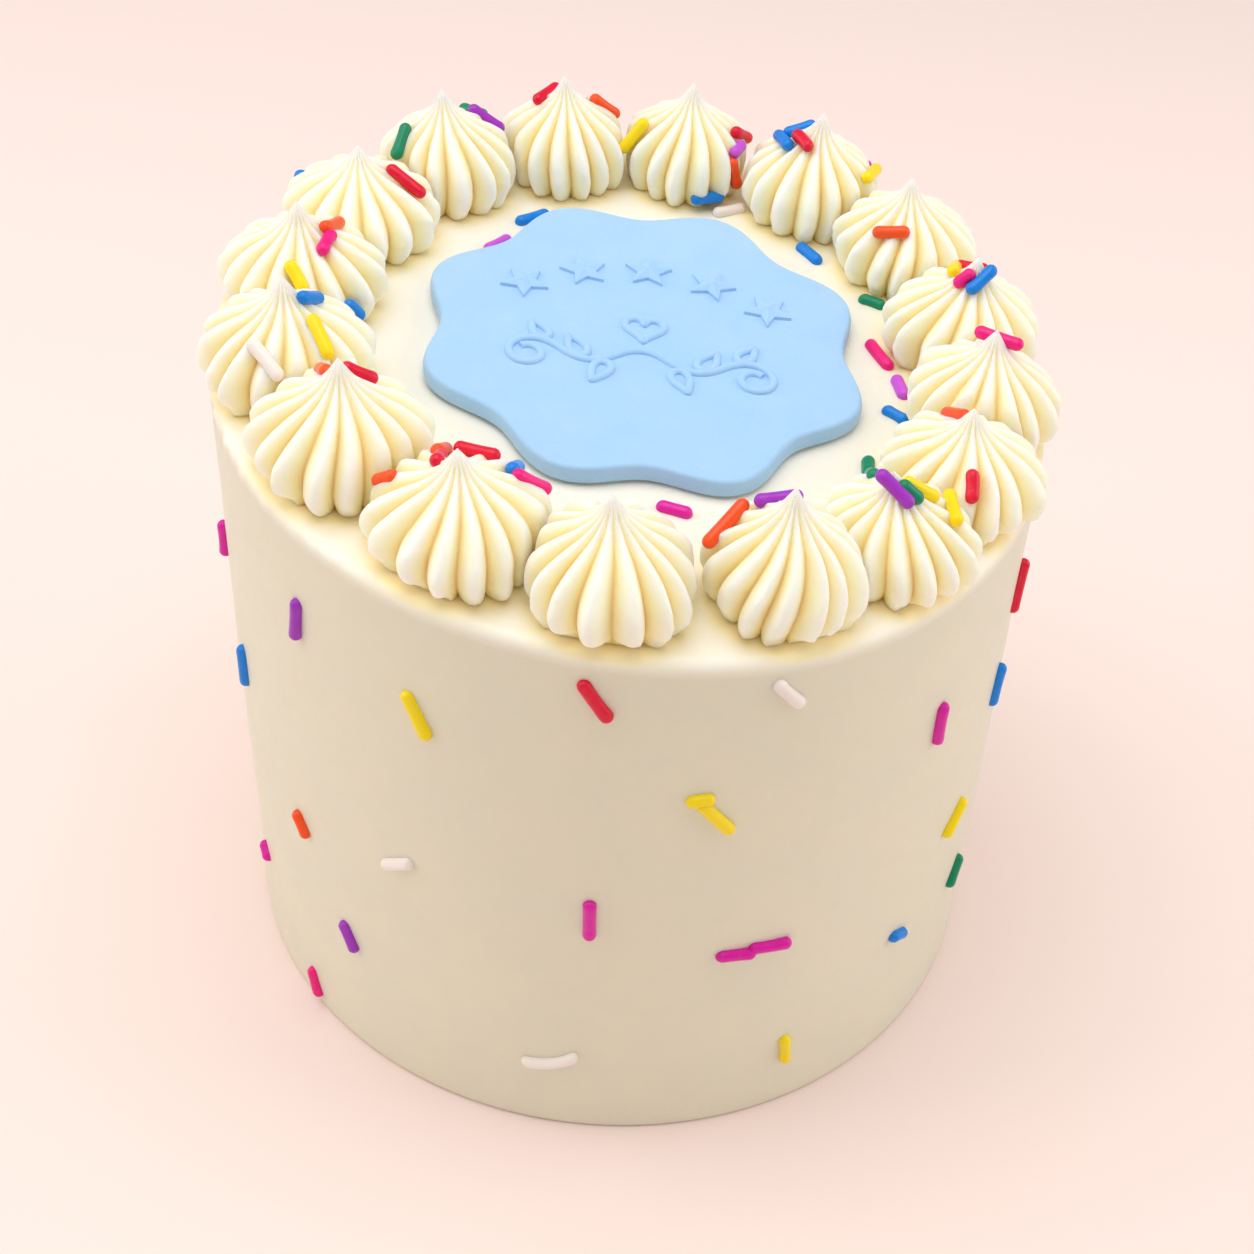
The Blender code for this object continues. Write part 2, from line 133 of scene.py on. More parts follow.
SWIRL_ROWS = (
    SwirlRow(-90.5, 16.3, 23.7, lean=-0.4, twist=6),
    SwirlRow(-64.0, 15.7, 25.0, lean=0.2, twist=20),
    SwirlRow(-43.0, 15.4, 20.5, lean=-3.0, twist=6, pull=1.5),
    SwirlRow(-22.5, 16.3, 20.0, lean=-0.2, twist=4, pull=1.0),
    SwirlRow(-4.5, 15.8, 22.5, twist=6, pull=1.0),
    SwirlRow(15.0, 16.2, 22.0, lean=1.2, twist=8),
    SwirlRow(38.0, 15.6, 21.5, lean=-0.6, twist=6, pull=2.0),
    SwirlRow(60.0, 15.6, 23.3, lean=1.5, twist=8, pull=2.0),
    SwirlRow(83.5, 14.7, 22.3, lean=1.1, twist=6, pull=1.0),
    SwirlRow(105.0, 14.5, 22.6, lean=-0.9, twist=4),
    SwirlRow(127.5, 15.1, 22.9, lean=-1.6, twist=-4, pull=0.5),
    SwirlRow(149.0, 17.2, 19.5, lean=-0.5, twist=-6, pull=-1.0),
    SwirlRow(173.0, 16.8, 21.8, lean=-0.4, twist=-4, pull=-2.0),
    SwirlRow(197.0, 17.2, 23.5, lean=-0.5, twist=5, pull=-1.5),
    SwirlRow(220.0, 17.4, 23.9, lean=0.2, twist=6, pull=-2.0),
    SwirlRow(245.5, 17.6, 21.9, lean=-0.3, twist=4, pull=-2.0),
)

SIDE_ROWS = (
    SideRow(SugarTone.MAGENTA, -165.0, 105.0, 8.5, 5),
    SideRow(SugarTone.BLUE, -156.0, 82.0, 10.0, 8),
    SideRow(SugarTone.PURPLE, -134.5, 120.0, 10.5, -7),
    SideRow(SugarTone.YELLOW, -115.0, 114.0, 11.0, 26),
    SideRow(SugarTone.CRIMSON, -93.0, 127.5, 10.5, 32),
    SideRow(SugarTone.WHITE, -69.5, 126.5, 9.0, 40),
    SideRow(SugarTone.MAGENTA, -41.5, 99.0, 11.0, 2),
    SideRow(SugarTone.CRIMSON, -16.0, 108.0, 12.0, -18),
    SideRow(SugarTone.BLUE, -20.0, 86.0, 10.0, -16),
    SideRow(SugarTone.YELLOW, -77.0, 97.0, 11.5, 38),
    SideRow(SugarTone.YELLOW, -79.2, 101.8, 5.5, 94),
    SideRow(SugarTone.YELLOW, -29.5, 59.0, 9.5, -50),
    SideRow(SugarTone.GREEN, -22.5, 33.0, 8.0, -40),
    SideRow(SugarTone.ORANGE, -138.5, 59.0, 6.5, 41),
    SideRow(SugarTone.MAGENTA, -156.5, 25.0, 5.0, 60),
    SideRow(SugarTone.WHITE, -119.0, 69.5, 8.5, 123),
    SideRow(SugarTone.MAGENTA, -92.0, 69.0, 11.0, 2),
    SideRow(SugarTone.PURPLE, -129.0, 36.0, 8.0, 28),
    SideRow(SugarTone.MAGENTA, -71.6, 55.4, 8.5, 83),
    SideRow(SugarTone.MAGENTA, -66.5, 55.6, 9.5, 82),
    SideRow(SugarTone.BLUE, -40.6, 35.4, 6.0, 68),
    SideRow(SugarTone.PINK, -139.0, 7.0, 8.0, 20),
    SideRow(SugarTone.WHITE, -96.4, 23.0, 12.5, 112, bend=-1.3),
    SideRow(SugarTone.YELLOW, -61.2, 18.5, 9.0, 7),
)

TOP_ROWS = (
    TopRow(SugarTone.WHITE, 15.6, 54.6, 8.0, 30),
    TopRow(SugarTone.BLUE, 32.9, 41.9, 7.5, -50),
    TopRow(SugarTone.GREEN, 46.0, 27.4, 6.0, -20),
    TopRow(SugarTone.PINK, 47.1, 10.2, 9.5, -62),
    TopRow(SugarTone.LILAC, 51.0, 0.6, 7.0, -75),
    TopRow(SugarTone.BLUE, 49.6, -8.4, 6.0, -35),
    TopRow(SugarTone.GREEN, 44.0, -25.0, 6.0, -90),
    TopRow(SugarTone.MAGENTA, 7.2, -44.7, 7.0, -12),
    TopRow(SugarTone.BLUE, -26.2, 43.6, 8.5, 38),
    TopRow(SugarTone.LILAC, -32.6, 32.4, 7.5, 50),
)

SWIRL_SUGAR_ROWS = (
    SwirlSugarRow(SugarTone.CRIMSON, 10, 150, 0.72, 8.5, -95),
    SwirlSugarRow(SugarTone.ORANGE, 10, 32, 0.57, 8.7, -5),
    SwirlSugarRow(SugarTone.PURPLE, 11, 40, 0.56, 9.0, -40),
    SwirlSugarRow(SugarTone.GREEN, 11, 62, 0.56, 8.0, 75),
    SwirlSugarRow(SugarTone.GREEN, 11, -149, 0.55, 8.3, 30),
    SwirlSugarRow(SugarTone.CRIMSON, 12, -2, 0.62, 9.8, -18),
    SwirlSugarRow(SugarTone.BLUE, 9, -64, 0.11, 8.0, 84),
    SwirlSugarRow(SugarTone.YELLOW, 9, -161, 0.47, 9.0, 4),
    SwirlSugarRow(SugarTone.CRIMSON, 9, 2, 0.47, 8.0, 40),
    SwirlSugarRow(SugarTone.LILAC, 9, -24, 0.46, 5.5, 92),
    SwirlSugarRow(SugarTone.ORANGE, 9, -34, 0.27, 8.0, 18),
    SwirlSugarRow(SugarTone.BLUE, 8, 175, 0.66, 8.8, 114),
    SwirlSugarRow(SugarTone.CRIMSON, 8, -143, 0.75, 6.8, 82),
    SwirlSugarRow(SugarTone.BLUE, 8, 130, 0.70, 7.5, 60),
    SwirlSugarRow(SugarTone.YELLOW, 8, -8, 0.47, 9.5, 72),
    SwirlSugarRow(SugarTone.ORANGE, 7, -116, 0.61, 7.8, 111),
    SwirlSugarRow(SugarTone.YELLOW, 6, 120, 0.70, 10.5, -40),
    SwirlSugarRow(SugarTone.CRIMSON, 6, 85, 0.68, 7.5, 60),
    SwirlSugarRow(SugarTone.PINK, 6, -136, 0.81, 5.0, -20),
    SwirlSugarRow(SugarTone.BLUE, 6, -66, 0.83, 8.0, 122),
    SwirlSugarRow(SugarTone.PINK, 5, 65, 0.84, 10.0, 90),
    SwirlSugarRow(SugarTone.ORANGE, 4, 116, 0.71, 8.5, 2),
    SwirlSugarRow(SugarTone.PURPLE, 3, -100, 0.87, 9.0, 50),
    SwirlSugarRow(SugarTone.GREEN, 3, -28, 0.82, 6.0, 15),
    SwirlSugarRow(SugarTone.YELLOW, 3, 24, 0.74, 8.5, -8),
    SwirlSugarRow(SugarTone.YELLOW, 3, 12, 0.57, 10.0, -98),
    SwirlSugarRow(SugarTone.GREEN, 3, 114, 0.52, 8.0, -15),
    SwirlSugarRow(SugarTone.CRIMSON, 4, -90, 0.54, 6.6, 1),
    SwirlSugarRow(SugarTone.PURPLE, 2, 110, 0.68, 9.0, -95),
    SwirlSugarRow(SugarTone.ORANGE, 2, 168, 0.53, 11.5, 52),
    SwirlSugarRow(SugarTone.BLUE, 16, 46, 0.52, 8.0, 30),
    SwirlSugarRow(SugarTone.PINK, 16, 30, 0.48, 9.5, 0),
    SwirlSugarRow(SugarTone.ORANGE, 16, 110, 0.54, 8.5, -25),
    SwirlSugarRow(SugarTone.CRIMSON, 16, 132, 0.72, 6.0, -42),
    SwirlSugarRow(SugarTone.CRIMSON, 16, 80, 0.56, 9.0, -100),
    SwirlSugarRow(SugarTone.ORANGE, 16, 167, 0.50, 6.0, -10),
    SwirlSugarRow(SugarTone.ORANGE, 15, 124, 0.70, 9.0, -12),
    SwirlSugarRow(SugarTone.CRIMSON, 15, 56, 0.73, 7.5, -35),
    SwirlSugarRow(SugarTone.YELLOW, 14, -38, 0.62, 9.3, -15),
    SwirlSugarRow(SugarTone.BLUE, 14, 25, 0.74, 8.0, 35),
    SwirlSugarRow(SugarTone.WHITE, 14, -98, 0.54, 9.7, 49),
    SwirlSugarRow(SugarTone.YELLOW, 13, -84, 0.55, 7.0, 29),
    SwirlSugarRow(SugarTone.BLUE, 13, -41, 0.24, 5.8, 34),
    SwirlSugarRow(SugarTone.PINK, 13, -28, 0.68, 6.8, 108),
    SwirlSugarRow(SugarTone.ORANGE, 13, 30, 0.68, 9.6, 42),
)


def shade_nodes(name: str) -> tuple[bpy.types.Material, bpy.types.NodeTree, bpy.types.Node]:
    """Start a material that has one Principled shader.

    Args:
        name: What the material is called.

    Returns:
        The material, its nodes and the shader.
    """
    material = bpy.data.materials.new(name)
    material.use_nodes = True
    tree = material.node_tree
    return material, tree, tree.nodes["Principled BSDF"]


def add_noise(tree: bpy.types.NodeTree, scale: float, detail: float) -> bpy.types.NodeSocket:
    """Add a noise that follows the object in metres.

    Args:
        tree: The material's nodes.
        scale: How many patches fit in a metre.
        detail: How many finer layers the noise has.

    Returns:
        The noise's value.
    """
    place = tree.nodes.new("ShaderNodeTexCoord")
    grain = tree.nodes.new("ShaderNodeTexNoise")
    grain.inputs["Scale"].default_value = scale
    grain.inputs["Detail"].default_value = detail
    tree.links.new(place.outputs["Object"], grain.inputs["Vector"])
    return grain.outputs["Fac"]


def add_bump(
    tree: bpy.types.NodeTree,
    shader: bpy.types.Node,
    layers: tuple[tuple[float, float], ...],
) -> None:
    """Roughen a shader's surface with one or more layers of fine relief.

    Args:
        tree: The material's nodes.
        shader: The shader whose surface is roughened.
        layers: Each layer's scale and its depth in metres.
    """
    before = None
    for scale, depth in layers:
        bump = tree.nodes.new("ShaderNodeBump")
        bump.inputs["Strength"].default_value = 1.0
        bump.inputs["Distance"].default_value = depth
        tree.links.new(add_noise(tree, scale, 3.0), bump.inputs["Height"])
        if before is not None:
            tree.links.new(before.outputs["Normal"], bump.inputs["Normal"])
        before = bump
    tree.links.new(before.outputs["Normal"], shader.inputs["Normal"])


def mix_colours(
    tree: bpy.types.NodeTree,
    share: bpy.types.NodeSocket,
    first: Colour | bpy.types.NodeSocket,
    second: Colour | bpy.types.NodeSocket,
) -> bpy.types.NodeSocket:
    """Blend two colours by a share that varies over the surface.

    Args:
        tree: The material's nodes.
        share: How much of the second colour shows.
        first: The colour at share 0.
        second: The colour at share 1.

    Returns:
        The blended colour.
    """
    blend = tree.nodes.new("ShaderNodeMix")
    blend.data_type = "RGBA"
    tree.links.new(share, blend.inputs[0])
    for socket, colour in ((blend.inputs[6], first), (blend.inputs[7], second)):
        if isinstance(colour, bpy.types.NodeSocket):
            tree.links.new(colour, socket)
        else:
            socket.default_value = (*colour, 1.0)
    return blend.outputs[2]


def remap(
    tree: bpy.types.NodeTree,
    value: bpy.types.NodeSocket,
    low: float,
    high: float,
    new_low: float = 0.0,
    new_high: float = 1.0,
) -> bpy.types.NodeSocket:
    """Stretch a value from one range to another, held at both ends.

    Args:
        tree: The material's nodes.
        value: The value to stretch.
        low: The value that becomes new_low.
        high: The value that becomes new_high.
        new_low: The result's lower end.
        new_high: The result's upper end.

    Returns:
        The stretched value.
    """
    stretch = tree.nodes.new("ShaderNodeMapRange")
    tree.links.new(value, stretch.inputs["Value"])
    stretch.inputs["From Min"].default_value = low
    stretch.inputs["From Max"].default_value = high
    stretch.inputs["To Min"].default_value = new_low
    stretch.inputs["To Max"].default_value = new_high
    return stretch.outputs["Result"]


def read_share(tree: bpy.types.NodeTree, name: str) -> bpy.types.NodeSocket:
    """Read a share that a mesh keeps at its points.

    Args:
        tree: The material's nodes.
        name: The share's name on the mesh.

    Returns:
        The share's value.
    """
    stored = tree.nodes.new("ShaderNodeAttribute")
    stored.attribute_name = name
    return stored.outputs["Fac"]


@dataclass(frozen=True)
class IcingFinish:
    """Buttercream: creamy on its crests, with a painted warm glow in its folds that stands in for light
    shining through and bouncing between them, paler on the flat top as painted overhead light, and paler
    towards a swirl's tip.
    """

    name: str
    crest: Colour
    painted_glow: Colour
    painted_deep_glow: Colour
    pale: Colour
    depth: float
    softness: float = 0.55
    roughness: float = 0.42
    pit_depth: float = 0.00005
    wave_depth: float = 0.0002

    def make(self) -> bpy.types.Material:
        """Make the icing's material.

        Returns:
            The material, which reads the shares "fold" and "pale" from its mesh.
        """
        material, tree, shader = shade_nodes(self.name)
        painted_glow = read_share(tree, "painted_glow")
        # A faint random mottle borrows the warm colour: this is the icing's own uneven tone.
        mottle = remap(tree, add_noise(tree, 60.0, 4.0), 0.35, 0.65, 0.0, 0.10)
        crest = mix_colours(tree, mottle, self.crest, self.painted_glow)
        # Paler where the pale share is high: on the cake's flat top this is painted overhead light, and on a
        # swirl it whitens the tip.
        crest = mix_colours(tree, remap(tree, read_share(tree, "pale"), 0.0, 1.0), crest, self.pale)
        # Painted warm glow, deeper where the share is high, standing in for light shining through the icing
        # and bouncing in its grooves and near the swirls' feet.
        with_painted_glow = mix_colours(tree, remap(tree, painted_glow, 0.0, 0.65), crest, self.painted_glow)
        with_painted_deep_glow = mix_colours(tree, remap(tree, painted_glow, 0.6, 1.0), with_painted_glow, self.painted_deep_glow)
        tree.links.new(with_painted_deep_glow, shader.inputs["Base Color"])
        patches = add_noise(tree, 220.0, 3.0)
        gloss = remap(tree, patches, 0.3, 0.7, self.roughness - 0.05, self.roughness + 0.08)
        tree.links.new(gloss, shader.inputs["Roughness"])
        shader.inputs["IOR"].default_value = 1.45
        shader.inputs["Subsurface Weight"].default_value = self.softness
        shader.inputs["Subsurface Radius"].default_value = (1.0, 0.76, 0.36)
        shader.inputs["Subsurface Scale"].default_value = self.depth
        add_bump(tree, shader, ((2200.0, self.pit_depth), (260.0, self.wave_depth)))
        return material


@dataclass(frozen=True)
class FondantFinish:
    """Rolled sugar paste: matte, with a dusty, finely speckled face."""

    name: str
    colour: Colour
    speck: Colour

    def make(self) -> bpy.types.Material:
        """Make the sugar paste's material.

        Returns:
            The material.
        """
        material, tree, shader = shade_nodes(self.name)
        specks = remap(tree, add_noise(tree, 2600.0, 2.0), 0.55, 0.75, 0.0, 0.6)
        clouds = remap(tree, add_noise(tree, 90.0, 3.0), 0.3, 0.7, 0.0, 0.35)
        base = mix_colours(tree, clouds, self.colour, self.speck)
        tree.links.new(mix_colours(tree, specks, base, self.speck), shader.inputs["Base Color"])
        shader.inputs["Roughness"].default_value = 0.72
        shader.inputs["Subsurface Weight"].default_value = 0.12
        shader.inputs["Subsurface Radius"].default_value = (0.5, 0.8, 1.0)
        shader.inputs["Subsurface Scale"].default_value = 0.0012
        shader.inputs["Sheen Weight"].default_value = 0.08
        add_bump(tree, shader, ((2600.0, 0.00005), (420.0, 0.00009)))
        return material


@dataclass(frozen=True)
class SugarFinish:
    """Pressed sugar with a thin shiny glaze."""

    tone: SugarTone

    def make(self) -> bpy.types.Material:
        """Make one colour's material.

        Returns:
            The material.
        """
        material, tree, shader = shade_nodes(f"{self.tone.name.lower()}_sugar")
        pale = tuple(min(1.0, part * 0.94 + 0.03) for part in self.tone.value)
        clouds = remap(tree, add_noise(tree, 500.0, 2.0), 0.4, 0.7, 0.0, 0.4)
        tree.links.new(mix_colours(tree, clouds, self.tone.value, pale), shader.inputs["Base Color"])
        shader.inputs["Roughness"].default_value = 0.30
        shader.inputs["Specular IOR Level"].default_value = 0.28
        shader.inputs["Coat Weight"].default_value = 0.10
        shader.inputs["Coat Roughness"].default_value = 0.15
        shader.inputs["Subsurface Weight"].default_value = 0.08
        shader.inputs["Subsurface Scale"].default_value = 0.0008
        add_bump(tree, shader, ((1500.0, 0.00004),))
        return material


@dataclass(frozen=True)
class PaperFinish:
    """Matte studio paper."""

    name: str
    colour: Colour

    def make(self) -> bpy.types.Material:
        """Make the paper's material.

        Returns:
            The material.
        """
        material, tree, shader = shade_nodes(self.name)
        fibre = remap(tree, add_noise(tree, 900.0, 3.0), 0.3, 0.7, 0.0, 0.1)
        pale = tuple(min(1.0, part * 1.03) for part in self.colour)
        tree.links.new(mix_colours(tree, fibre, self.colour, pale), shader.inputs["Base Color"])
        shader.inputs["Roughness"].default_value = 0.9
        shader.inputs["Specular IOR Level"].default_value = 0.1
        return material


def turned_piece(
    name: str,
    rings: np.ndarray,
    top: np.ndarray,
    bottom: np.ndarray,
    shares: dict[str, np.ndarray] | None = None,
) -> bpy.types.Object:
    """Make a closed piece from rings of points, listed from top to bottom.

    Args:
        name: The piece's name.
        rings: Points by row and column, counted round by rising bearing.
        top: The point that closes the first ring.
        bottom: The point that closes the last ring.
        shares: Values to keep at the rings' points, by name.

    Returns:
        The piece, linked to the scene.
    """
    rows, columns, _ = rings.shape
    last = rows * columns + 1
    points = [tuple(top), *map(tuple, rings.reshape(-1, 3)), tuple(bottom)]
    faces = []
    for column in range(columns):
        after = (column + 1) % columns
        low = 1 + (rows - 1) * columns
        faces.append((0, 1 + column, 1 + after))
        faces.append((last, low + after, low + column))
    for row in range(rows - 1):
        upper = 1 + row * columns
        lower = upper + columns
        for column in range(columns):
            after = (column + 1) % columns
            faces.append((upper + column, lower + column, lower + after, upper + after))
    mesh = bpy.data.meshes.new(name)
    mesh.from_pydata(points, [], faces)
    for share_name, values in (shares or {}).items():
        stored = mesh.attributes.new(share_name, "FLOAT", "POINT")
        flat = values.reshape(-1)
        stored.data.foreach_set("value", np.concatenate(([flat[0]], flat, [flat[-1]])).astype(np.float32))
    mesh.shade_smooth()
    piece = bpy.data.objects.new(name, mesh)
    bpy.context.scene.collection.objects.link(piece)
    return piece


def spread_shares(low: float, high: float, count: int) -> np.ndarray:
    """Space numbers evenly from low to just short of high."""
    return np.linspace(low, high, count, endpoint=False)


@dataclass
class IcedCake:
    """The iced cake: a turned form, leant, sloped and twisted a little by hand."""

    height: float = 0.141
    base_radius: float = 0.0822
    top_radius: float = 0.0827
    rim_rounding: float = 0.0022
    foot_rounding: float = 0.0012
    shift: tuple[float, float] = (-0.0030, -0.0025)
    slope_x: float = -0.0645
    slope_y: float = 0.048
    top_twist: float = 0.0014
    twist_bearing: float = math.radians(5)
    side_wave: float = 0.0004
    edge_margin: float = 0.0012
    columns: int = 400
    # Strength of the painted warm glow on the top near the swirls' feet.
    foot_glow: float = 0.7
    scrape_depth: float = 0.00016
    stroke_depth: float = 0.00018
    lip_depth: float = 0.00042
    lip_bearing: float = 205
    lip_spread: float = 22
    # Painted light: the side colour is darker and yellower than the top, as painted shade and warm fill; the
    # pale colour paints the overhead light on the flat top; and the two warm colours paint a glow near the
    # swirls' feet.
    finish: IcingFinish = IcingFinish(
        "spread_icing",
        crest=(0.765, 0.735, 0.59),
        painted_glow=(1.0, 0.87, 0.56),
        painted_deep_glow=(1.0, 0.80, 0.36),
        pale=(0.93, 0.89, 0.79),
        depth=0.0034,
        softness=0.32,
        pit_depth=0.00003,
        wave_depth=0.00012,
    )

    def top_height(self, x: np.ndarray, y: np.ndarray) -> np.ndarray:
        """Work out the height of the iced top.

        Args:
            x: Places along X.
            y: Places along Y.

        Returns:
            The heights at those places.
        """
        radius = np.hypot(x - self.shift[0], y - self.shift[1])
        bearing = np.arctan2(y - self.shift[1], x - self.shift[0])
        twist = np.sin(2 * (bearing - self.twist_bearing)) * (radius / self.top_radius) ** 2
        return self.height + self.slope_x * x + self.slope_y * y + self.top_twist * twist

    def side_radius(self, share: np.ndarray) -> np.ndarray:
        """Return the radius at a share of the cake's height."""
        return self.base_radius + (self.top_radius - self.base_radius) * share

    def spread(self, radius: np.ndarray, bearing: np.ndarray, share: np.ndarray) -> np.ndarray:
        """Move points of the turned form to their places on the hand-spread one.

        Args:
            radius: Distances from the axis.
            bearing: Bearings round the axis.
            share: Heights as shares of the cake's height.

        Returns:
            The points, with X, Y and Z last.
        """
        wave = np.sin(3 * bearing + 1.0) + 0.6 * np.sin(5 * bearing + 7 * share)
        settled = np.minimum(1.0, share * 8)
        radius = radius + self.side_wave * wave * (radius / self.top_radius) ** 2 * settled
        x = radius * np.cos(bearing) + self.shift[0] * share
        y = radius * np.sin(bearing) + self.shift[1] * share
        return np.stack((x, y, share * self.top_height(x, y)), axis=-1)

    def outline(self) -> np.ndarray:
        """List the upright outline as radii and shares of the height.

        Returns:
            The points, from near the middle of the top to near the middle of the underside.
        """
        points = []
        for radius in np.linspace(0.03, 1.0, 46):
            points.append((radius * (self.top_radius - self.rim_rounding), 1.0))
        for turn in np.radians(np.arange(12, 91, 12)):
            drop = self.rim_rounding * (1 - math.cos(turn))
            radius = self.top_radius - self.rim_rounding * (1 - math.sin(turn))
            points.append((radius, 1 - drop / self.height))
        start = 1 - self.rim_rounding / self.height
        for share in np.linspace(start, self.foot_rounding / self.height, 90)[1:]:
            points.append((float(self.side_radius(share)), share))
        for turn in np.radians((30, 60, 90)):
            radius = self.base_radius - self.foot_rounding * (1 - math.cos(turn))
            points.append((radius, self.foot_rounding * (1 - math.sin(turn)) / self.height))
        points.append((self.base_radius * 0.5, 0.0))
        return np.array(points)

    def build(self, ring: "SwirlRing") -> bpy.types.Object:
        """Build and dress the cake.

        Args:
            ring: The swirls, whose feet get a painted warm glow on the icing near them.

        Returns:
            The iced cake.
        """
        outline = self.outline()
        bearing = spread_shares(0.0, 2 * math.pi, self.columns)
        radius = np.repeat(outline[:, :1], self.columns, axis=1)
        share = np.repeat(outline[:, 1:], self.columns, axis=1)
        around = np.repeat(bearing[None, :], len(outline), axis=0)
        points = self.spread(radius, around, share)
        points += self.scrape_marks(points, around, share)
        near_feet = ring.nearness(points[..., 0], points[..., 1])
        # Painted warm glow on the top, in the contact shade round the swirls' feet.
        glow = self.foot_glow * near_feet * np.clip((share - 0.985) / 0.01, 0, 1)
        middle = self.spread(np.zeros(1), np.zeros(1), np.ones(1))[0]
        # Painted overhead light: the flat top gets the paler colour, and the side keeps its painted shade.
        flat = np.clip((share - 0.975) / 0.02, 0, 1)
        cake = turned_piece("iced_cake", points, middle, np.zeros(3), {"painted_glow": glow, "pale": flat})
        cake.data.materials.append(self.finish.make())
        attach(cake, BODY)
        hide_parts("cake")
        return cake

    def scrape_marks(self, points: np.ndarray, around: np.ndarray, share: np.ndarray) -> np.ndarray:
        """Work out the faint marks that the scraper and the knife leave.

        Args:
            points: The smooth surface.
            around: Each point's bearing.
            share: Each point's share of the height.

        Returns:
            How far each point moves.
        """
        moves = np.zeros_like(points)
        flat = points.reshape(-1, 3)
        relief = np.array([noise.noise(Vector((p[0] * 22, p[1] * 22, p[2] * 95))) for p in flat])
        relief = relief.reshape(points.shape[:2])
        on_side = np.clip(share * 30, 0, 1) * np.clip((1 - share) * 40, 0, 1)
        outward = self.scrape_depth * relief * on_side
        rim = np.exp(-(((share - 0.985) / 0.012) ** 2)) * (share < 0.9999)
        lip = np.exp(-((np.degrees(around) - self.lip_bearing) / self.lip_spread) ** 2)
        chatter = np.sin(around * 61) * 0.5 + np.sin(around * 113 + 1.0) * 0.5
        outward += self.lip_depth * rim * lip * chatter
        moves[..., 0] = outward * np.cos(around)
        moves[..., 1] = outward * np.sin(around)
        on_top = share > 0.9999
        strokes = np.array([noise.noise(Vector((p[0] * 60, p[1] * 160, 3.0))) for p in flat])
        moves[..., 2] = np.where(on_top, self.stroke_depth * strokes.reshape(points.shape[:2]), 0.0)
        return moves


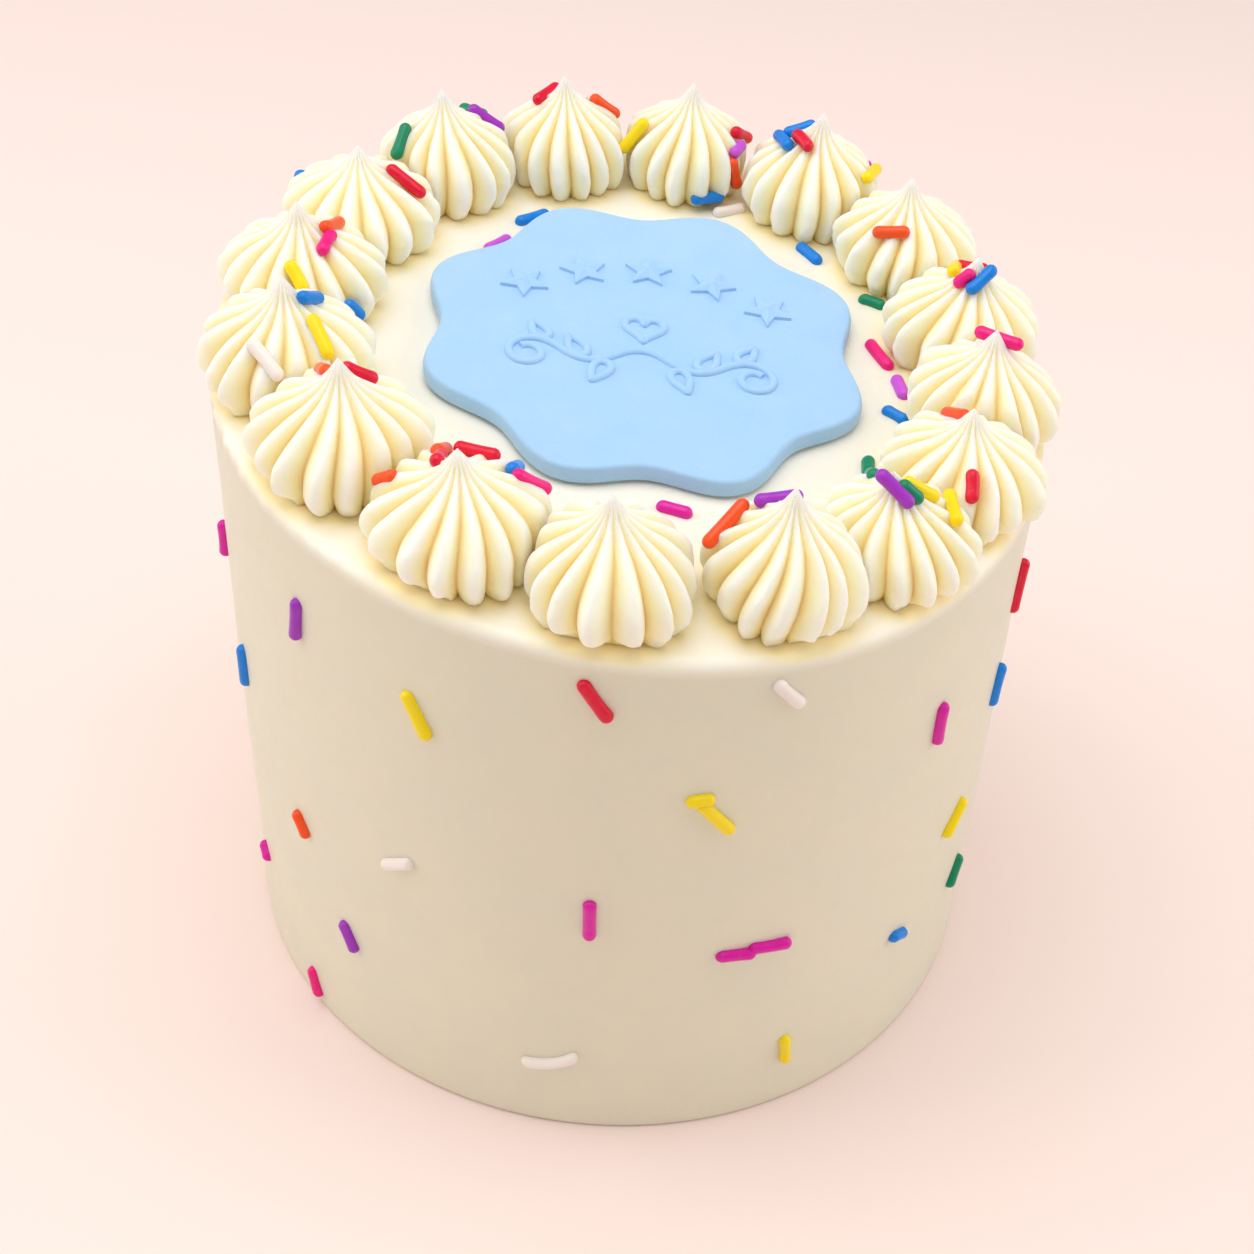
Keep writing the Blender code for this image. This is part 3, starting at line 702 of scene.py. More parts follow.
@dataclass
class SwirlRing:
    """The ring of piped swirls, each drawn from its own seed."""

    cake: IcedCake
    rows: tuple[SwirlRow, ...] = SWIRL_ROWS
    ring_radius: float = 0.0685
    ridges: int = 15
    seed: int = 41
    ridge_unevenness: float = 0.05
    ridge_wander: float = 0.18
    ridge_depth: float = 0.20
    neck_ridge_depth: float = 0.30
    press_start: float = 0.82
    rest_gap: float = 0.0004
    neighbour_gap: float = 0.0002
    columns_per_ridge: int = 14
    row_count: int = 54
    glow_reach: float = 0.0018
    foot_sharpness: float = 0.8
    neck_sharpness: float = 1.6
    profile: tuple[tuple[float, float], ...] = (
        (1.00, 0.00),
        (0.90, 0.09),
        (0.80, 0.19),
        (0.70, 0.38),
        (0.59, 0.66),
        (0.44, 0.91),
        (0.19, 1.00),
        (0.00, 0.86),
    )
    # The two warm colours are a painted glow in the grooves and round the feet, standing in for light shining
    # through the icing and bouncing between its ridges; the pale colour whitens the tips.
    finish: IcingFinish = IcingFinish(
        "piped_buttercream",
        crest=(0.98, 0.95, 0.85),
        painted_glow=(1.0, 0.85, 0.49),
        painted_deep_glow=(1.0, 0.70, 0.18),
        pale=(0.93, 0.91, 0.88),
        depth=0.0038,
        softness=0.8,
        wave_depth=0.00014,
    )

    def centre(self, number: int) -> np.ndarray:
        """Return the place of a swirl's axis on the top."""
        row = self.rows[number % len(self.rows)]
        bearing = math.radians(row.bearing)
        reach = self.ring_radius + row.pull / 1000
        return np.array(self.cake.shift) + reach * np.array((math.cos(bearing), math.sin(bearing)))

    def ridge_draws(self, number: int) -> tuple[np.ndarray, np.ndarray]:
        """Draw each ridge's bearing and size from the swirl's seed.

        Args:
            number: The swirl's place in the ring, from 0.

        Returns:
            The bearings in turns and the size shares.
        """
        draw = random.Random(self.seed + number)
        bearings = []
        sizes = []
        for ridge in range(self.ridges):
            bearings.append((ridge + draw.uniform(-self.ridge_wander, self.ridge_wander)) / self.ridges)
            sizes.append(1.0 + draw.uniform(-self.ridge_unevenness, self.ridge_unevenness))
        return np.array(bearings), np.array(sizes)

    def envelope(self, share: np.ndarray) -> np.ndarray:
        """Read the smooth outline of a swirl.

        Args:
            share: Shares of the swirl's height.

        Returns:
            The reach at those heights, as shares of the swirl's radius.
        """
        heights = np.array([point[0] for point in self.profile])[::-1]
        reaches = np.array([point[1] for point in self.profile])[::-1]
        slopes = np.gradient(reaches, heights)
        place = np.clip(np.searchsorted(heights, share, side="right") - 1, 0, len(heights) - 2)
        gap = heights[place + 1] - heights[place]
        part = np.clip((share - heights[place]) / gap, 0, 1)
        curve = (2 * part**3 - 3 * part**2 + 1) * reaches[place]
        curve += (part**3 - 2 * part**2 + part) * gap * slopes[place]
        curve += (3 * part**2 - 2 * part**3) * reaches[place + 1]
        curve += (part**3 - part**2) * gap * slopes[place + 1]
        return np.maximum(curve, 0.0)

    def settle(self, number: int, bearing: np.ndarray, reach: np.ndarray, share: np.ndarray) -> np.ndarray:
        """Press a swirl against its neighbours, lean it and set it on the top.

        Args:
            number: The swirl's place in the ring, from 0.
            bearing: Bearings round the swirl's axis.
            reach: Distances from the axis.
            share: Shares of the swirl's height.

        Returns:
            The points, with X, Y and Z last.
        """
        row = self.rows[number]
        centre = self.centre(number)
        offset = np.stack((reach * np.cos(bearing), reach * np.sin(bearing)), axis=-1)
        for step in (-1, 1):
            neighbour = self.rows[(number + step) % len(self.rows)]
            away = self.centre(number + step) - centre
            distance = float(np.hypot(*away))
            direction = away / distance
            limit = distance * row.radius / (row.radius + neighbour.radius) - self.neighbour_gap
            start = limit * self.press_start
            along = offset @ direction
            eased = start + (limit - start) * np.tanh((along - start) / (limit - start))
            push = np.where(along > start, eased - along, 0.0)
            offset = offset + push[..., None] * direction
        offset[..., 0] += row.lean / 1000 * share**2
        place = centre + offset
        place = self.keep_on_top(place, np.clip(1 - share / 0.12, 0, 1))
        ground = self.cake.top_height(place[..., 0], place[..., 1])
        rise = ground * (1 - share) + self.cake.top_height(centre[0], centre[1]) * share
        height = rise + self.rest_gap + share * row.height / 1000
        return np.concatenate((place, height[..., None]), axis=-1)

    def keep_on_top(self, place: np.ndarray, hold: np.ndarray) -> np.ndarray:
        """Pull foot points in, so that they stay on the flat of the top.

        Args:
            place: Places on the top.
            hold: How firmly each point is held, from 0 to 1.

        Returns:
            The places after the pull.
        """
        middle = np.array(self.cake.shift)
        out = place - middle
        length = np.maximum(np.hypot(out[..., 0], out[..., 1]), 1e-9)
        limit = self.cake.top_radius - self.cake.rim_rounding - self.cake.edge_margin
        scale = 1 + (np.minimum(1.0, limit / length) - 1) * hold
        return middle + out * scale[..., None]

    def skin(self, number: int, bearing: float, share: float) -> Vector:
        """Find a point on a swirl's outline, as the solids have it.

        Args:
            number: The swirl's place in the ring, from 0.
            bearing: Radians round the swirl's axis.
            share: Share of the swirl's height.

        Returns:
            The point.
        """
        heights = [point[0] for point in self.profile][::-1]
        reaches = [point[1] for point in self.profile][::-1]
        reach = self.rows[number].radius / 1000 * float(np.interp(share, heights, reaches))
        reach *= 1 - self.ridge_depth / 3
        point = self.settle(number, np.array([bearing]), np.array([reach]), np.array([share]))
        return Vector(point[0])

    def nearness(self, x: np.ndarray, y: np.ndarray) -> np.ndarray:
        """Work out how near places on the top are to a swirl's foot.

        Args:
            x: Places along X.
            y: Places along Y.

        Returns:
            Shares that fall from 1 at a foot to almost 0 about 6 mm away.
        """
        nearest = np.full(np.shape(x), 1.0)
        for number, row in enumerate(self.rows):
            centre = self.centre(number)
            gap = np.hypot(x - centre[0], y - centre[1]) - row.radius / 1000 * 0.9
            nearest = np.minimum(nearest, gap)
        return np.exp(-np.maximum(nearest, 0.0) / self.glow_reach)

    def ridge_map(self, number: int) -> tuple[np.ndarray, np.ndarray, np.ndarray]:
        """Work out the ridges of one swirl, column by column.

        Args:
            number: The swirl's place in the ring, from 0.

        Returns:
            Each column's bearing in radians, its ridge's size and its nearness to a crest.
        """
        bearings, sizes = self.ridge_draws(number)
        columns = self.ridges * self.columns_per_ridge
        place = np.arange(columns) / self.columns_per_ridge
        ridge = place.astype(int) % self.ridges
        part = place - place.astype(int)
        after = (ridge + 1) % self.ridges
        ends = np.where(after == 0, bearings[after] + 1.0, bearings[after])
        bearing = 2 * math.pi * (bearings[ridge] + (ends - bearings[ridge]) * part)
        size = sizes[ridge] + (sizes[after] - sizes[ridge]) * part
        return bearing, size, np.abs(np.cos(math.pi * part))

    def build_swirl(self, number: int, material: bpy.types.Material) -> bpy.types.Object:
        """Build and dress one swirl.

        Args:
            number: The swirl's place in the ring, from 0.
            material: The icing's material.

        Returns:
            The swirl.
        """
        row = self.rows[number]
        draw = random.Random(self.seed * 3 + number)
        bearing, size, crest = self.ridge_map(number)
        share = 1 - np.linspace(0, 1, self.row_count) ** 0.92
        share[0] = 0.996
        share[-1] = 0.0
        reach_share = self.envelope(share)
        depth = self.ridge_depth + (self.neck_ridge_depth - self.ridge_depth) * share
        sharpness = self.foot_sharpness + (self.neck_sharpness - self.foot_sharpness) * share
        groove = 1 - crest[None, :] ** sharpness[:, None]
        soft_tip = np.clip((1.0 - share) / 0.10, 0, 1)
        dip = groove * (depth * soft_tip)[:, None]
        reach = row.radius / 1000 * reach_share[:, None] * size[None, :] * (1 - dip)
        around = bearing[None, :] + math.radians(row.twist) * share[:, None]
        reach, around = self.hand_wobble(reach, around, share, draw)
        heights = np.repeat(share[:, None], reach.shape[1], axis=1)
        points = self.settle(number, around, reach, heights)
        tip = self.settle(number, np.zeros(1), np.zeros(1), np.ones(1))[0]
        middle = self.centre(number)
        ground = float(self.cake.top_height(middle[0], middle[1]))
        bottom = np.array((middle[0], middle[1], ground + self.rest_gap))
        # Painted warm glow in the grooves and round the foot; paler towards the tip.
        painted_glow = self.painted_glow_shares(groove, heights)
        pale = np.clip((heights - 0.55) / 0.35, 0, 1)
        name = f"piped_swirl_{number + 1:02d}"
        swirl = turned_piece(name, points, tip, bottom, {"painted_glow": painted_glow, "pale": pale})
        swirl.data.materials.append(material)
        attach(swirl, BODY)
        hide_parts(f"swirl_{number + 1:02d}")
        return swirl

    def hand_wobble(
        self, reach: np.ndarray, around: np.ndarray, share: np.ndarray, draw: random.Random
    ) -> tuple[np.ndarray, np.ndarray]:
        """Make the ridges waver as hand-piped icing does.

        Args:
            reach: Distances from the swirl's axis.
            around: Bearings round the swirl's axis.
            share: Each row's share of the height.
            draw: The swirl's own random draw.

        Returns:
            The changed reaches and bearings.
        """
        start = draw.uniform(0, 50)
        rows, columns = reach.shape
        ripple = np.zeros_like(reach)
        for row in range(rows):
            for column in range(columns):
                angle = around[row, column]
                spot = Vector((math.cos(angle) * 2.2, math.sin(angle) * 2.2, share[row] * 5 + start))
                fine = Vector((math.cos(angle) * 9, math.sin(angle) * 9, share[row] * 16 + start))
                ripple[row, column] = 0.03 * noise.noise(spot) + 0.012 * noise.noise(fine)
        sway = 0.05 * np.sin(share * 5 + start)[:, None]
        return reach * (0.98 + ripple), around + sway

    def painted_glow_shares(self, groove: np.ndarray, heights: np.ndarray) -> np.ndarray:
        """Say where the painted warm glow goes: deep in the grooves, away from the tip, and round the foot,
        as light shining through the icing and bouncing in its folds.

        Args:
            groove: Each point's depth in its groove.
            heights: Each point's share of the height.

        Returns:
            The share of painted glow at each point.
        """
        body = np.clip((0.95 - heights) / 0.35, 0, 1)
        foot = np.clip((0.12 - heights) / 0.12, 0, 1)
        return np.clip(groove * (0.10 + 0.78 * body) + 0.30 * foot, 0, 1)

    def build(self) -> list[bpy.types.Object]:
        """Build and dress every swirl.

        Returns:
            The swirls.
        """
        material = self.finish.make()
        return [self.build_swirl(number, material) for number in range(len(self.rows))]


@dataclass
class Plaque:
    """The scalloped plaque of rolled sugar paste, with raised ornament."""

    cake: IcedCake
    radius: float = 0.0427
    wave: float = 0.0026
    lobes: int = 8
    first_lobe: float = math.radians(26)
    centre: tuple[float, float] = (-0.0008, 0.0019)
    thickness: float = 0.0039
    rounding: float = 0.0009
    rest_gap: float = 0.0004
    columns: int = 320
    line_radius: float = 0.00085
    ornament_scale: float = 1.18
    star_count: int = 5
    star_size: float = 0.0043
    star_inner: float = 0.46
    star_rise: float = 0.0016
    arc_radius: float = 0.034
    arc_drop: float = 0.0165
    arc_step: float = 19
    stem_length: float = 0.040
    stem_steps: int = 110
    stem_sway: float = 38
    curl_start: float = 239
    curl_tightening: float = 175
    heart_scale: float = 0.00021
    heart_lift: float = 0.0062
    leaf_width: float = 0.36
    leaf_taper: float = 1.2
    edge_bulge: float = 0.00018
    drop: float = -0.0050
    # Each leaf's start along X and Y, its heading in degrees and its length
    leaves: tuple[tuple[float, float, float, float], ...] = (
        (0.0098, -0.0031, 62, 0.0056),
        (0.0058, -0.0042, -68, 0.0056),
        (0.0162, 0.0004, 58, 0.0048),
    )
    finish: FondantFinish = FondantFinish("blue_sugar_paste", (0.36, 0.60, 0.91), (0.45, 0.68, 0.95))

    def edge(self, bearing: np.ndarray) -> np.ndarray:
        """Return how far the wavy edge is from the plaque's middle."""
        return self.radius + self.wave * np.cos(self.lobes * (bearing - self.first_lobe))

    def place(self, x: np.ndarray, y: np.ndarray, height: np.ndarray) -> np.ndarray:
        """Set points of the flat plaque on the sloping top.

        Args:
            x: Places along X, from the plaque's middle.
            y: Places along Y, from the plaque's middle.
            height: Heights above the plaque's underside.

        Returns:
            The points, with X, Y and Z last.
        """
        x = x + self.centre[0]
        y = y + self.centre[1]
        ground = self.cake.top_height(x, y)
        return np.stack((x, y, ground + self.rest_gap + height), axis=-1)

    def build_slab(self, material: bpy.types.Material) -> bpy.types.Object:
        """Build and dress the slab.

        Args:
            material: The sugar paste's material.

        Returns:
            The slab.
        """
        bearing = spread_shares(0.0, 2 * math.pi, self.columns)
        edge = self.edge(bearing)
        rings = []
        for share in (0.05, 0.3, 0.55, 0.75, 0.88, 0.94):
            rings.append((edge * share, self.thickness))
        for turn in np.radians(np.arange(0, 91, 15)):
            inset = self.rounding * (1 - math.sin(turn))
            rings.append((edge - inset, self.thickness - self.rounding * (1 - math.cos(turn))))
        for height in (0.0024, 0.0018, 0.0012, 0.0007):
            bulge = self.edge_bulge * math.sin(math.pi * height / self.thickness)
            rings.append((edge + bulge, height))
        rings.append((edge - 0.0003, 0.0002))
        rings.append((edge - 0.0008, 0.0))
        rings.append((edge * 0.5, 0.0))
        around = np.stack((np.cos(bearing), np.sin(bearing)))
        points = np.array([self.place(*(reach * around), np.full(self.columns, z)) for reach, z in rings])
        top = self.place(np.zeros(1), np.zeros(1), np.full(1, self.thickness))[0]
        bottom = self.place(np.zeros(1), np.zeros(1), np.zeros(1))[0]
        slab = turned_piece("sugar_paste_plaque", points, top, bottom)
        slab.data.materials.append(material)
        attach(slab, BODY)
        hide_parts("plaque")
        return slab

    def build_star(self, number: int, material: bpy.types.Material) -> bpy.types.Object:
        """Build and dress one raised five-pointed star of the arc.

        Args:
            number: The star's place in the arc, from 0 on the left.
            material: The sugar paste's material.

        Returns:
            The star.
        """
        bearing = math.radians(90 + self.arc_step * ((self.star_count - 1) / 2 - number))
        middle = self.arc_radius * np.array((math.cos(bearing), math.sin(bearing)))
        middle[1] -= self.arc_drop
        angle = bearing + spread_shares(0.0, 2 * math.pi, 10)
        reach = self.star_size * np.where(np.arange(10) % 2 == 0, 1.0, self.star_inner)
        corners = middle[:, None] + reach * np.stack((np.cos(angle), np.sin(angle)))
        corners *= self.ornament_scale
        middle = middle * self.ornament_scale
        levels = (self.thickness + 0.4 * self.star_rise, self.thickness - 0.2 * self.star_rise)
        rings = np.array([self.place(corners[0], corners[1], np.full(10, level)) for level in levels])
        crown = self.place(*middle, np.array(self.thickness + self.star_rise))
        foot = self.place(*middle, np.array(levels[1]))
        star = turned_piece(f"raised_star_{number + 1}", rings, crown, foot)
        star.data.shade_flat()
        star.data.materials.append(material)
        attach(star, BODY)
        return star

    def stem(self) -> list[tuple[float, float]]:
        """Trace the right half of the flourish: one wave, then a curl that tightens.

        Returns:
            The points, from the middle outwards, each a step along the line's heading.
        """
        step = self.stem_length / self.stem_steps
        x = 0.0
        y = 0.0
        points = []
        for number in range(self.stem_steps):
            share = (number + 0.5) / self.stem_steps
            points.append((x, y))
            if share < 0.5:
                heading = -self.stem_sway * math.sin(4 * math.pi * share)
            else:
                turned = (share - 0.5) / 0.5
                heading = -self.curl_start * turned - self.curl_tightening * turned**2
            x += step * math.cos(math.radians(heading))
            y += step * math.sin(math.radians(heading))
        return points

    def leaf(self, x: float, y: float, heading: float, length: float) -> list[tuple[float, float]]:
        """List the points of a closed leaf, round at the stem and pointed at its tip.

        Args:
            x: Where the leaf starts along X.
            y: Where the leaf starts along Y.
            heading: The way it points, in degrees.
            length: Its length.

        Returns:
            The points, in order round the leaf.
        """
        turn = math.radians(heading)
        points = []
        for angle in spread_shares(0.0, 2 * math.pi, 32):
            along = length * (1 + math.cos(angle)) / 2
            taper = abs(math.sin(angle / 2)) ** self.leaf_taper
            across = self.leaf_width * length * math.sin(angle) * taper
            points.append(
                (
                    x + along * math.cos(turn) - across * math.sin(turn),
                    y + along * math.sin(turn) + across * math.cos(turn),
                )
            )
        return points

    def heart(self) -> list[tuple[float, float]]:
        """List the points of the small heart in the middle of the flourish.

        Returns:
            The points, in order round the heart.
        """
        points = []
        for angle in spread_shares(0.0, 2 * math.pi, 40):
            x = 16 * math.sin(angle) ** 3
            y = 13 * math.cos(angle) - 5 * math.cos(2 * angle) - 2 * math.cos(3 * angle) - math.cos(4 * angle)
            points.append((x * self.heart_scale, y * self.heart_scale + self.heart_lift))
        return points

    def lines(self) -> list[tuple[list[tuple[float, float]], bool]]:
        """List every raised line of the ornament.

        Returns:
            Each line's points and whether it closes on itself.
        """
        half = self.stem()
        whole = [(-x, y) for x, y in half[:0:-1]] + half
        shapes = [(whole, False), (self.heart(), True)]
        for side in (-1, 1):
            for leaf in self.leaves:
                shapes.append(([(side * x, y) for x, y in self.leaf(*leaf)], True))
        return [([(x, y + self.drop) for x, y in points], closed) for points, closed in shapes]

    def build_ornament(self, material: bpy.types.Material) -> bpy.types.Object:
        """Build and dress the raised lines.

        Args:
            material: The sugar paste's material.

        Returns:
            The ornament, as one mesh.
        """
        curve = bpy.data.curves.new("raised_lines", "CURVE")
        curve.dimensions = "3D"
        curve.bevel_depth = self.line_radius
        curve.bevel_resolution = 4
        curve.use_fill_caps = True
        for points, closed in self.lines():
            spline = curve.splines.new("POLY")
            spline.points.add(len(points) - 1)
            x = np.array([point[0] for point in points]) * self.ornament_scale
            y = np.array([point[1] for point in points]) * self.ornament_scale
            placed = self.place(x, y, np.full(len(points), self.thickness))
            for point, (px, py, pz) in zip(spline.points, placed):
                point.co = (px, py, pz, 1.0)
            spline.use_cyclic_u = closed
        drawn = bpy.data.objects.new("raised_lines", curve)
        bpy.context.scene.collection.objects.link(drawn)
        bpy.context.view_layer.update()
        mesh = bpy.data.meshes.new_from_object(drawn.evaluated_get(bpy.context.evaluated_depsgraph_get()))
        bpy.data.objects.remove(drawn, do_unlink=True)
        mesh.name = "plaque_ornament"
        mesh.materials.clear()
        mesh.materials.append(material)
        mesh.shade_smooth()
        ornament = bpy.data.objects.new("plaque_ornament", mesh)
        bpy.context.scene.collection.objects.link(ornament)
        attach(ornament, BODY)
        return ornament

    def build(self) -> list[bpy.types.Object]:
        """Build and dress the plaque.

        Returns:
            The slab, its raised lines and its stars.
        """
        material = self.finish.make()
        stars = [self.build_star(number, material) for number in range(self.star_count)]
        return [self.build_slab(material), self.build_ornament(material), *stars]


@dataclass
class Sprinkles:
    """The sugar sprinkles, gathered into one piece for each colour."""

    cake: IcedCake
    ring: SwirlRing
    radius: float = 0.0014
    glazed_radius: float = 0.00135
    sink: float = 0.22
    seed: int = 7
    hidden_start: float = 2
    hidden_turn: float = 184
    hidden_count: int = 13
    hidden_low: float = 12
    hidden_span: float = 112
    first_hidden_swirl: int = 7
    last_hidden_swirl: int = 12
    golden_share: float = 0.618
    sides: int = 14
    bend_spread: float = 0.00024
    waist_depth: float = 0.08
    probe_turn: float = 3
    probe_share: float = 0.04
    shape_draw: random.Random = field(default_factory=lambda: random.Random(23))
    rods: dict[SugarTone, list[tuple[np.ndarray, list[tuple[int, ...]]]]] = field(default_factory=dict)

    def lay(
        self,
        tone: SugarTone,
        place: Vector,
        along: Vector,
        outward: Vector,
        length: float,
        bend: float,
    ) -> None:
        """Add one sprinkle.

        Args:
            tone: Its colour.
            place: The point of the icing under its middle.
            along: The way it points.
            outward: The way that the icing faces.
            length: Its length in metres.
            bend: How far its middle is off the line of its ends, in metres.
        """
        side = outward.cross(along).normalized()
        out = along.cross(side).normalized()
        turn = np.array(Matrix((side, out, along.normalized())).transposed())
        middle = np.array(place + out * self.radius * self.sink)
        rings = []
        thick = self.glazed_radius
        straight = length / 2 - thick
        for angle in np.radians(np.arange(12, 91, 19.5)):
            rings.append((thick * math.sin(angle), straight + thick * math.cos(angle)))
        bend += self.shape_draw.uniform(-self.bend_spread, self.bend_spread)
        waist = self.shape_draw.uniform(0.0, self.waist_depth)
        for share in (0.6, 0.2, -0.2, -0.6):
            rings.append((thick * (0.99 - waist * (1 - share**2)), straight * share))
        for angle in np.radians(np.arange(90, 11, -19.5)):
            rings.append((thick * math.sin(angle), -straight - thick * math.cos(angle)))
        bearing = spread_shares(0, 2 * math.pi, self.sides)
        points = [(0.0, 0.0, length / 2)]
        for reach, height in rings:
            points.extend(zip(reach * np.cos(bearing), reach * np.sin(bearing), np.full(self.sides, height)))
        points.append((0.0, 0.0, -length / 2))
        local = np.array(points)
        local[:, 0] += bend * (1 - (local[:, 2] / (length / 2)) ** 2)
        world = local @ turn.T + middle
        self.rods.setdefault(tone, []).append((world, self.rod_faces(len(rings))))

    def rod_faces(self, rows: int) -> list[tuple[int, ...]]:
        """List the faces of one sprinkle.

        Args:
            rows: How many rings it has.

        Returns:
            Each face's point numbers, facing out.
        """
        faces = []
        last = rows * self.sides + 1
        low = 1 + (rows - 1) * self.sides
        for column in range(self.sides):
            after = (column + 1) % self.sides
            faces.append((0, 1 + column, 1 + after))
            faces.append((last, low + after, low + column))
            for row in range(rows - 1):
                upper = 1 + row * self.sides
                lower = upper + self.sides
                faces.append((upper + column, lower + column, lower + after, upper + after))
        return faces

    def lay_on_side(self, row: SideRow) -> None:
        """Add a sprinkle to the side.

        Args:
            row: Its place and size.
        """
        bearing = math.radians(row.bearing)
        outward = Vector((math.cos(bearing), math.sin(bearing), 0.0))
        around = Vector((-math.sin(bearing), math.cos(bearing), 0.0))
        rim = outward * self.cake.top_radius
        share = row.height / 1000 / float(self.cake.top_height(rim.x, rim.y))
        radius = float(self.cake.side_radius(share))
        aim = outward * radius - Vector((*self.cake.shift, 0.0)) * share
        turned = math.atan2(aim.y, aim.x)
        place = Vector(self.cake.spread(np.array(radius), np.array(turned), np.array(share)))
        tilt = math.radians(row.tilt)
        along = around * math.sin(tilt) - Vector((0.0, 0.0, math.cos(tilt)))
        self.lay(row.tone, place, along, outward, row.length / 1000, row.bend / 1000)

    def lay_on_top(self, row: TopRow) -> None:
        """Add a sprinkle to the flat of the top.

        Args:
            row: Its place and size.
        """
        heading = math.radians(row.heading)
        x = row.x / 1000
        y = row.y / 1000
        along = Vector((math.cos(heading), math.sin(heading), 0.0))
        along.z = along.x * self.cake.slope_x + along.y * self.cake.slope_y
        place = Vector((x, y, float(self.cake.top_height(x, y))))
        self.lay(row.tone, place, along, Vector((0, 0, 1)), row.length / 1000, 0.0)

    def lay_on_swirl(self, row: SwirlSugarRow) -> None:
        """Add a sprinkle to a swirl.

        Args:
            row: Its place and size.
        """
        number = row.swirl - 1
        bearing = math.radians(row.bearing)
        step = math.radians(self.probe_turn)
        place = self.ring.skin(number, bearing, row.share)
        around = self.ring.skin(number, bearing + step, row.share)
        around -= self.ring.skin(number, bearing - step, row.share)
        down = self.ring.skin(number, bearing, row.share - self.probe_share)
        down -= self.ring.skin(number, bearing, row.share + self.probe_share)
        outward = down.cross(around).normalized()
        turn = math.radians(row.turn)
        along = down.normalized() * math.cos(turn) + around.normalized() * math.sin(turn)
        self.lay(row.tone, place, along, outward, row.length / 1000, 0.0)

    def hidden_rows(self) -> tuple[list[SideRow], list[SwirlSugarRow]]:
        """Draw the sprinkles of the far side by a rule.

        Returns:
            The rows for the side and the rows for the swirls.
        """
        tones = list(SugarTone)
        draw = random.Random(self.seed)
        side = []
        for number in range(self.hidden_count):
            share = (number + 0.5 + draw.uniform(-0.25, 0.25)) / self.hidden_count
            bearing = self.hidden_start + self.hidden_turn * share
            height = self.hidden_low + self.hidden_span * ((number * self.golden_share) % 1.0)
            tone = tones[(number * 3) % len(tones)]
            side.append(SideRow(tone, bearing, height, draw.uniform(7, 11), draw.uniform(-80, 80)))
        draw = random.Random(self.seed + 1)
        piped = []
        for number in range(self.first_hidden_swirl, self.last_hidden_swirl + 1):
            bearing = self.ring.rows[number - 1].bearing + draw.uniform(-20, 20)
            share = draw.uniform(0.24, 0.34)
            tone = tones[(number * 7) % len(tones)]
            length = draw.uniform(7, 9)
            piped.append(SwirlSugarRow(tone, number, bearing, share, length, draw.uniform(55, 125)))
        return side, piped

    def build(self) -> list[bpy.types.Object]:
        """Build and dress every sprinkle.

        Returns:
            One piece for each colour.
        """
        hidden_side, hidden_piped = self.hidden_rows()
        for row in (*SIDE_ROWS, *hidden_side):
            self.lay_on_side(row)
        for row in TOP_ROWS:
            self.lay_on_top(row)
        for row in (*SWIRL_SUGAR_ROWS, *hidden_piped):
            self.lay_on_swirl(row)
        return [self.gather(tone, rods) for tone, rods in self.rods.items()]

    def gather(
        self, tone: SugarTone, rods: list[tuple[np.ndarray, list[tuple[int, ...]]]]
    ) -> bpy.types.Object:
        """Join one colour's sprinkles into a piece.

        Args:
            tone: The colour.
            rods: Each sprinkle's points and faces.

        Returns:
            The piece.
        """
        points = []
        faces = []
        for rod_points, rod_faces in rods:
            start = len(points)
            points.extend(map(tuple, rod_points))
            faces.extend(tuple(start + index for index in face) for face in rod_faces)
        name = f"{tone.name.lower()}_sprinkles"
        mesh = bpy.data.meshes.new(name)
        mesh.from_pydata(points, [], faces)
        mesh.shade_smooth()
        mesh.materials.append(SugarFinish(tone).make())
        piece = bpy.data.objects.new(name, mesh)
        bpy.context.scene.collection.objects.link(piece)
        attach(piece, BODY)
        return piece


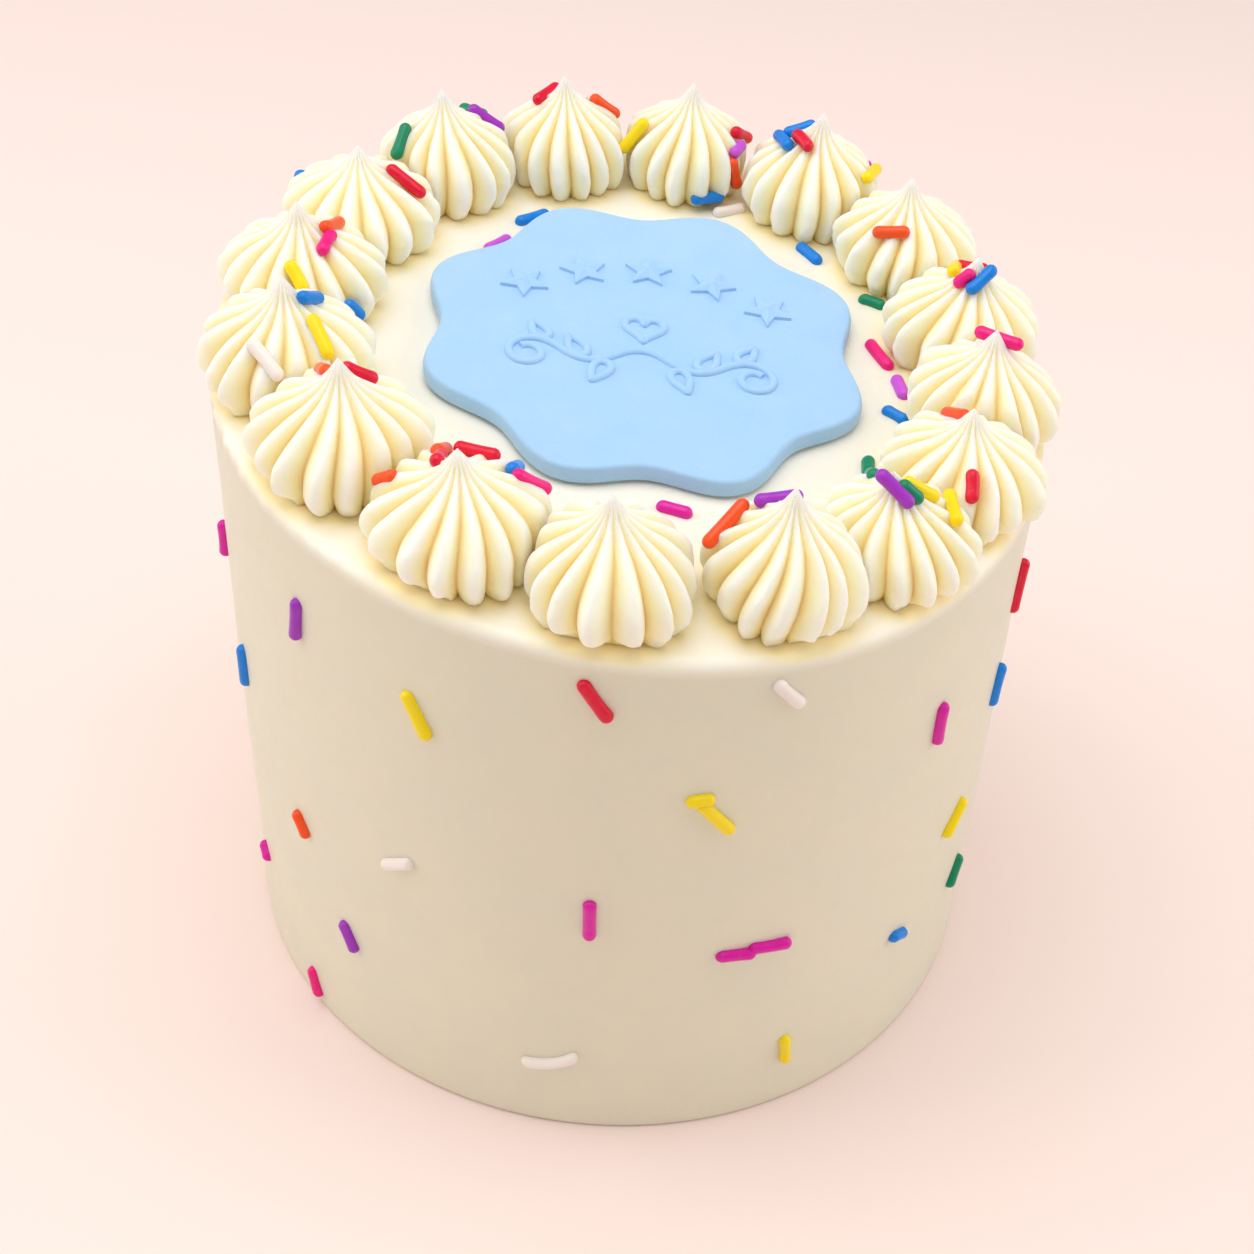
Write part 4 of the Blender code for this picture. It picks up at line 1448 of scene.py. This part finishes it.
@dataclass
class Studio:
    """The camera, the floor and the soft lights."""

    photo_side: float = 1254.0
    focal_pixels: float = 2175.6
    sensor: float = 36.0
    camera_back: float = 0.3589
    camera_up: float = 0.3868
    yaw: float = 0.0004
    pitch: float = 0.7237
    roll: float = 0.0735
    floor_side: float = 6.0
    floor_colour: Colour = (0.95, 0.785, 0.735)
    world_colour: Colour = (1.0, 0.985, 0.97)
    world_strength: float = 0.42

    def build_camera(self) -> bpy.types.Object:
        """Set the camera where the photograph was taken from.

        Returns:
            The camera.
        """
        lens = bpy.data.cameras.new("camera")
        lens.sensor_width = self.sensor
        lens.lens = self.focal_pixels / self.photo_side * self.sensor
        lens.clip_start = 0.01
        camera = bpy.data.objects.new("camera", lens)
        ahead = Vector(
            (
                math.sin(self.yaw) * math.cos(self.pitch),
                math.cos(self.yaw) * math.cos(self.pitch),
                -math.sin(self.pitch),
            )
        )
        level = Vector((math.cos(self.yaw), -math.sin(self.yaw), 0.0))
        upright = level.cross(ahead)
        right = math.cos(self.roll) * level + math.sin(self.roll) * upright
        up = math.cos(self.roll) * upright - math.sin(self.roll) * level
        pose = Matrix((right, up, -ahead)).transposed().to_4x4()
        pose.translation = Vector((0.0, -self.camera_back, self.camera_up))
        camera.matrix_world = pose
        bpy.context.scene.collection.objects.link(camera)
        bpy.context.scene.camera = camera
        return camera

    def build_floor(self) -> bpy.types.Object:
        """Lay the paper that the cake stands on.

        Returns:
            The floor.
        """
        sheet = bmesh.new()
        bmesh.ops.create_grid(sheet, x_segments=2, y_segments=2, size=self.floor_side / 2)
        mesh = bpy.data.meshes.new("paper_floor")
        sheet.to_mesh(mesh)
        sheet.free()
        mesh.materials.append(PaperFinish("studio_paper", self.floor_colour).make())
        floor = bpy.data.objects.new("paper_floor", mesh)
        bpy.context.scene.collection.objects.link(floor)
        return floor

    def add_light(
        self, name: str, place: Place, aim: Place, size: float, power: float, colour: Colour
    ) -> None:
        """Add a square soft light.

        Args:
            name: The light's name.
            place: Where it hangs.
            aim: What it points at.
            size: The length of its sides.
            power: Its power in watts.
            colour: Its colour.
        """
        panel = bpy.data.lights.new(name, "AREA")
        panel.shape = "SQUARE"
        panel.size = size
        panel.energy = power
        panel.color = colour
        light = bpy.data.objects.new(name, panel)
        light.visible_camera = False
        light.location = place
        light.rotation_euler = (Vector(aim) - Vector(place)).to_track_quat("-Z", "Y").to_euler()
        bpy.context.scene.collection.objects.link(light)

    def build(self) -> None:
        """Build the camera, the floor and the lights."""
        self.build_camera()
        self.build_floor()
        world = bpy.data.worlds.new("soft_room")
        world.use_nodes = True
        sky = world.node_tree.nodes["Background"]
        sky.inputs["Color"].default_value = (*self.world_colour, 1.0)
        sky.inputs["Strength"].default_value = self.world_strength
        bpy.context.scene.world = world
        bpy.context.scene.view_settings.view_transform = "Standard"
        middle = (0.0, 0.0, 0.1)
        self.add_light("overhead", (-0.1, 0.0, 1.1), middle, 0.9, 6.9, (1.0, 0.985, 0.965))
        self.add_light("left_panel", (-1.0, 0.0, 0.6), middle, 0.8, 4.2, (1.0, 0.985, 0.98))
        self.add_light("right_panel", (1.0, 0.1, 0.5), middle, 0.8, 3.9, (1.0, 0.985, 0.98))
        self.add_light("low_fill", (0.05, -0.65, 0.06), (0.0, 0.0, 0.0), 0.45, 0.5, (1.0, 0.96, 0.88))


def main() -> None:
    """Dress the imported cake."""
    logging.basicConfig(level=logging.INFO, format="%(message)s")
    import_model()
    cake = IcedCake()
    ring = SwirlRing(cake)
    Studio().build()
    LOG.info("built %s", cake.build(ring).name)
    for piece in (*ring.build(), *Plaque(cake).build(), *Sprinkles(cake, ring).build()):
        LOG.info("built %s with %d points", piece.name, len(piece.data.vertices))


if __name__ == "__main__":
    main()
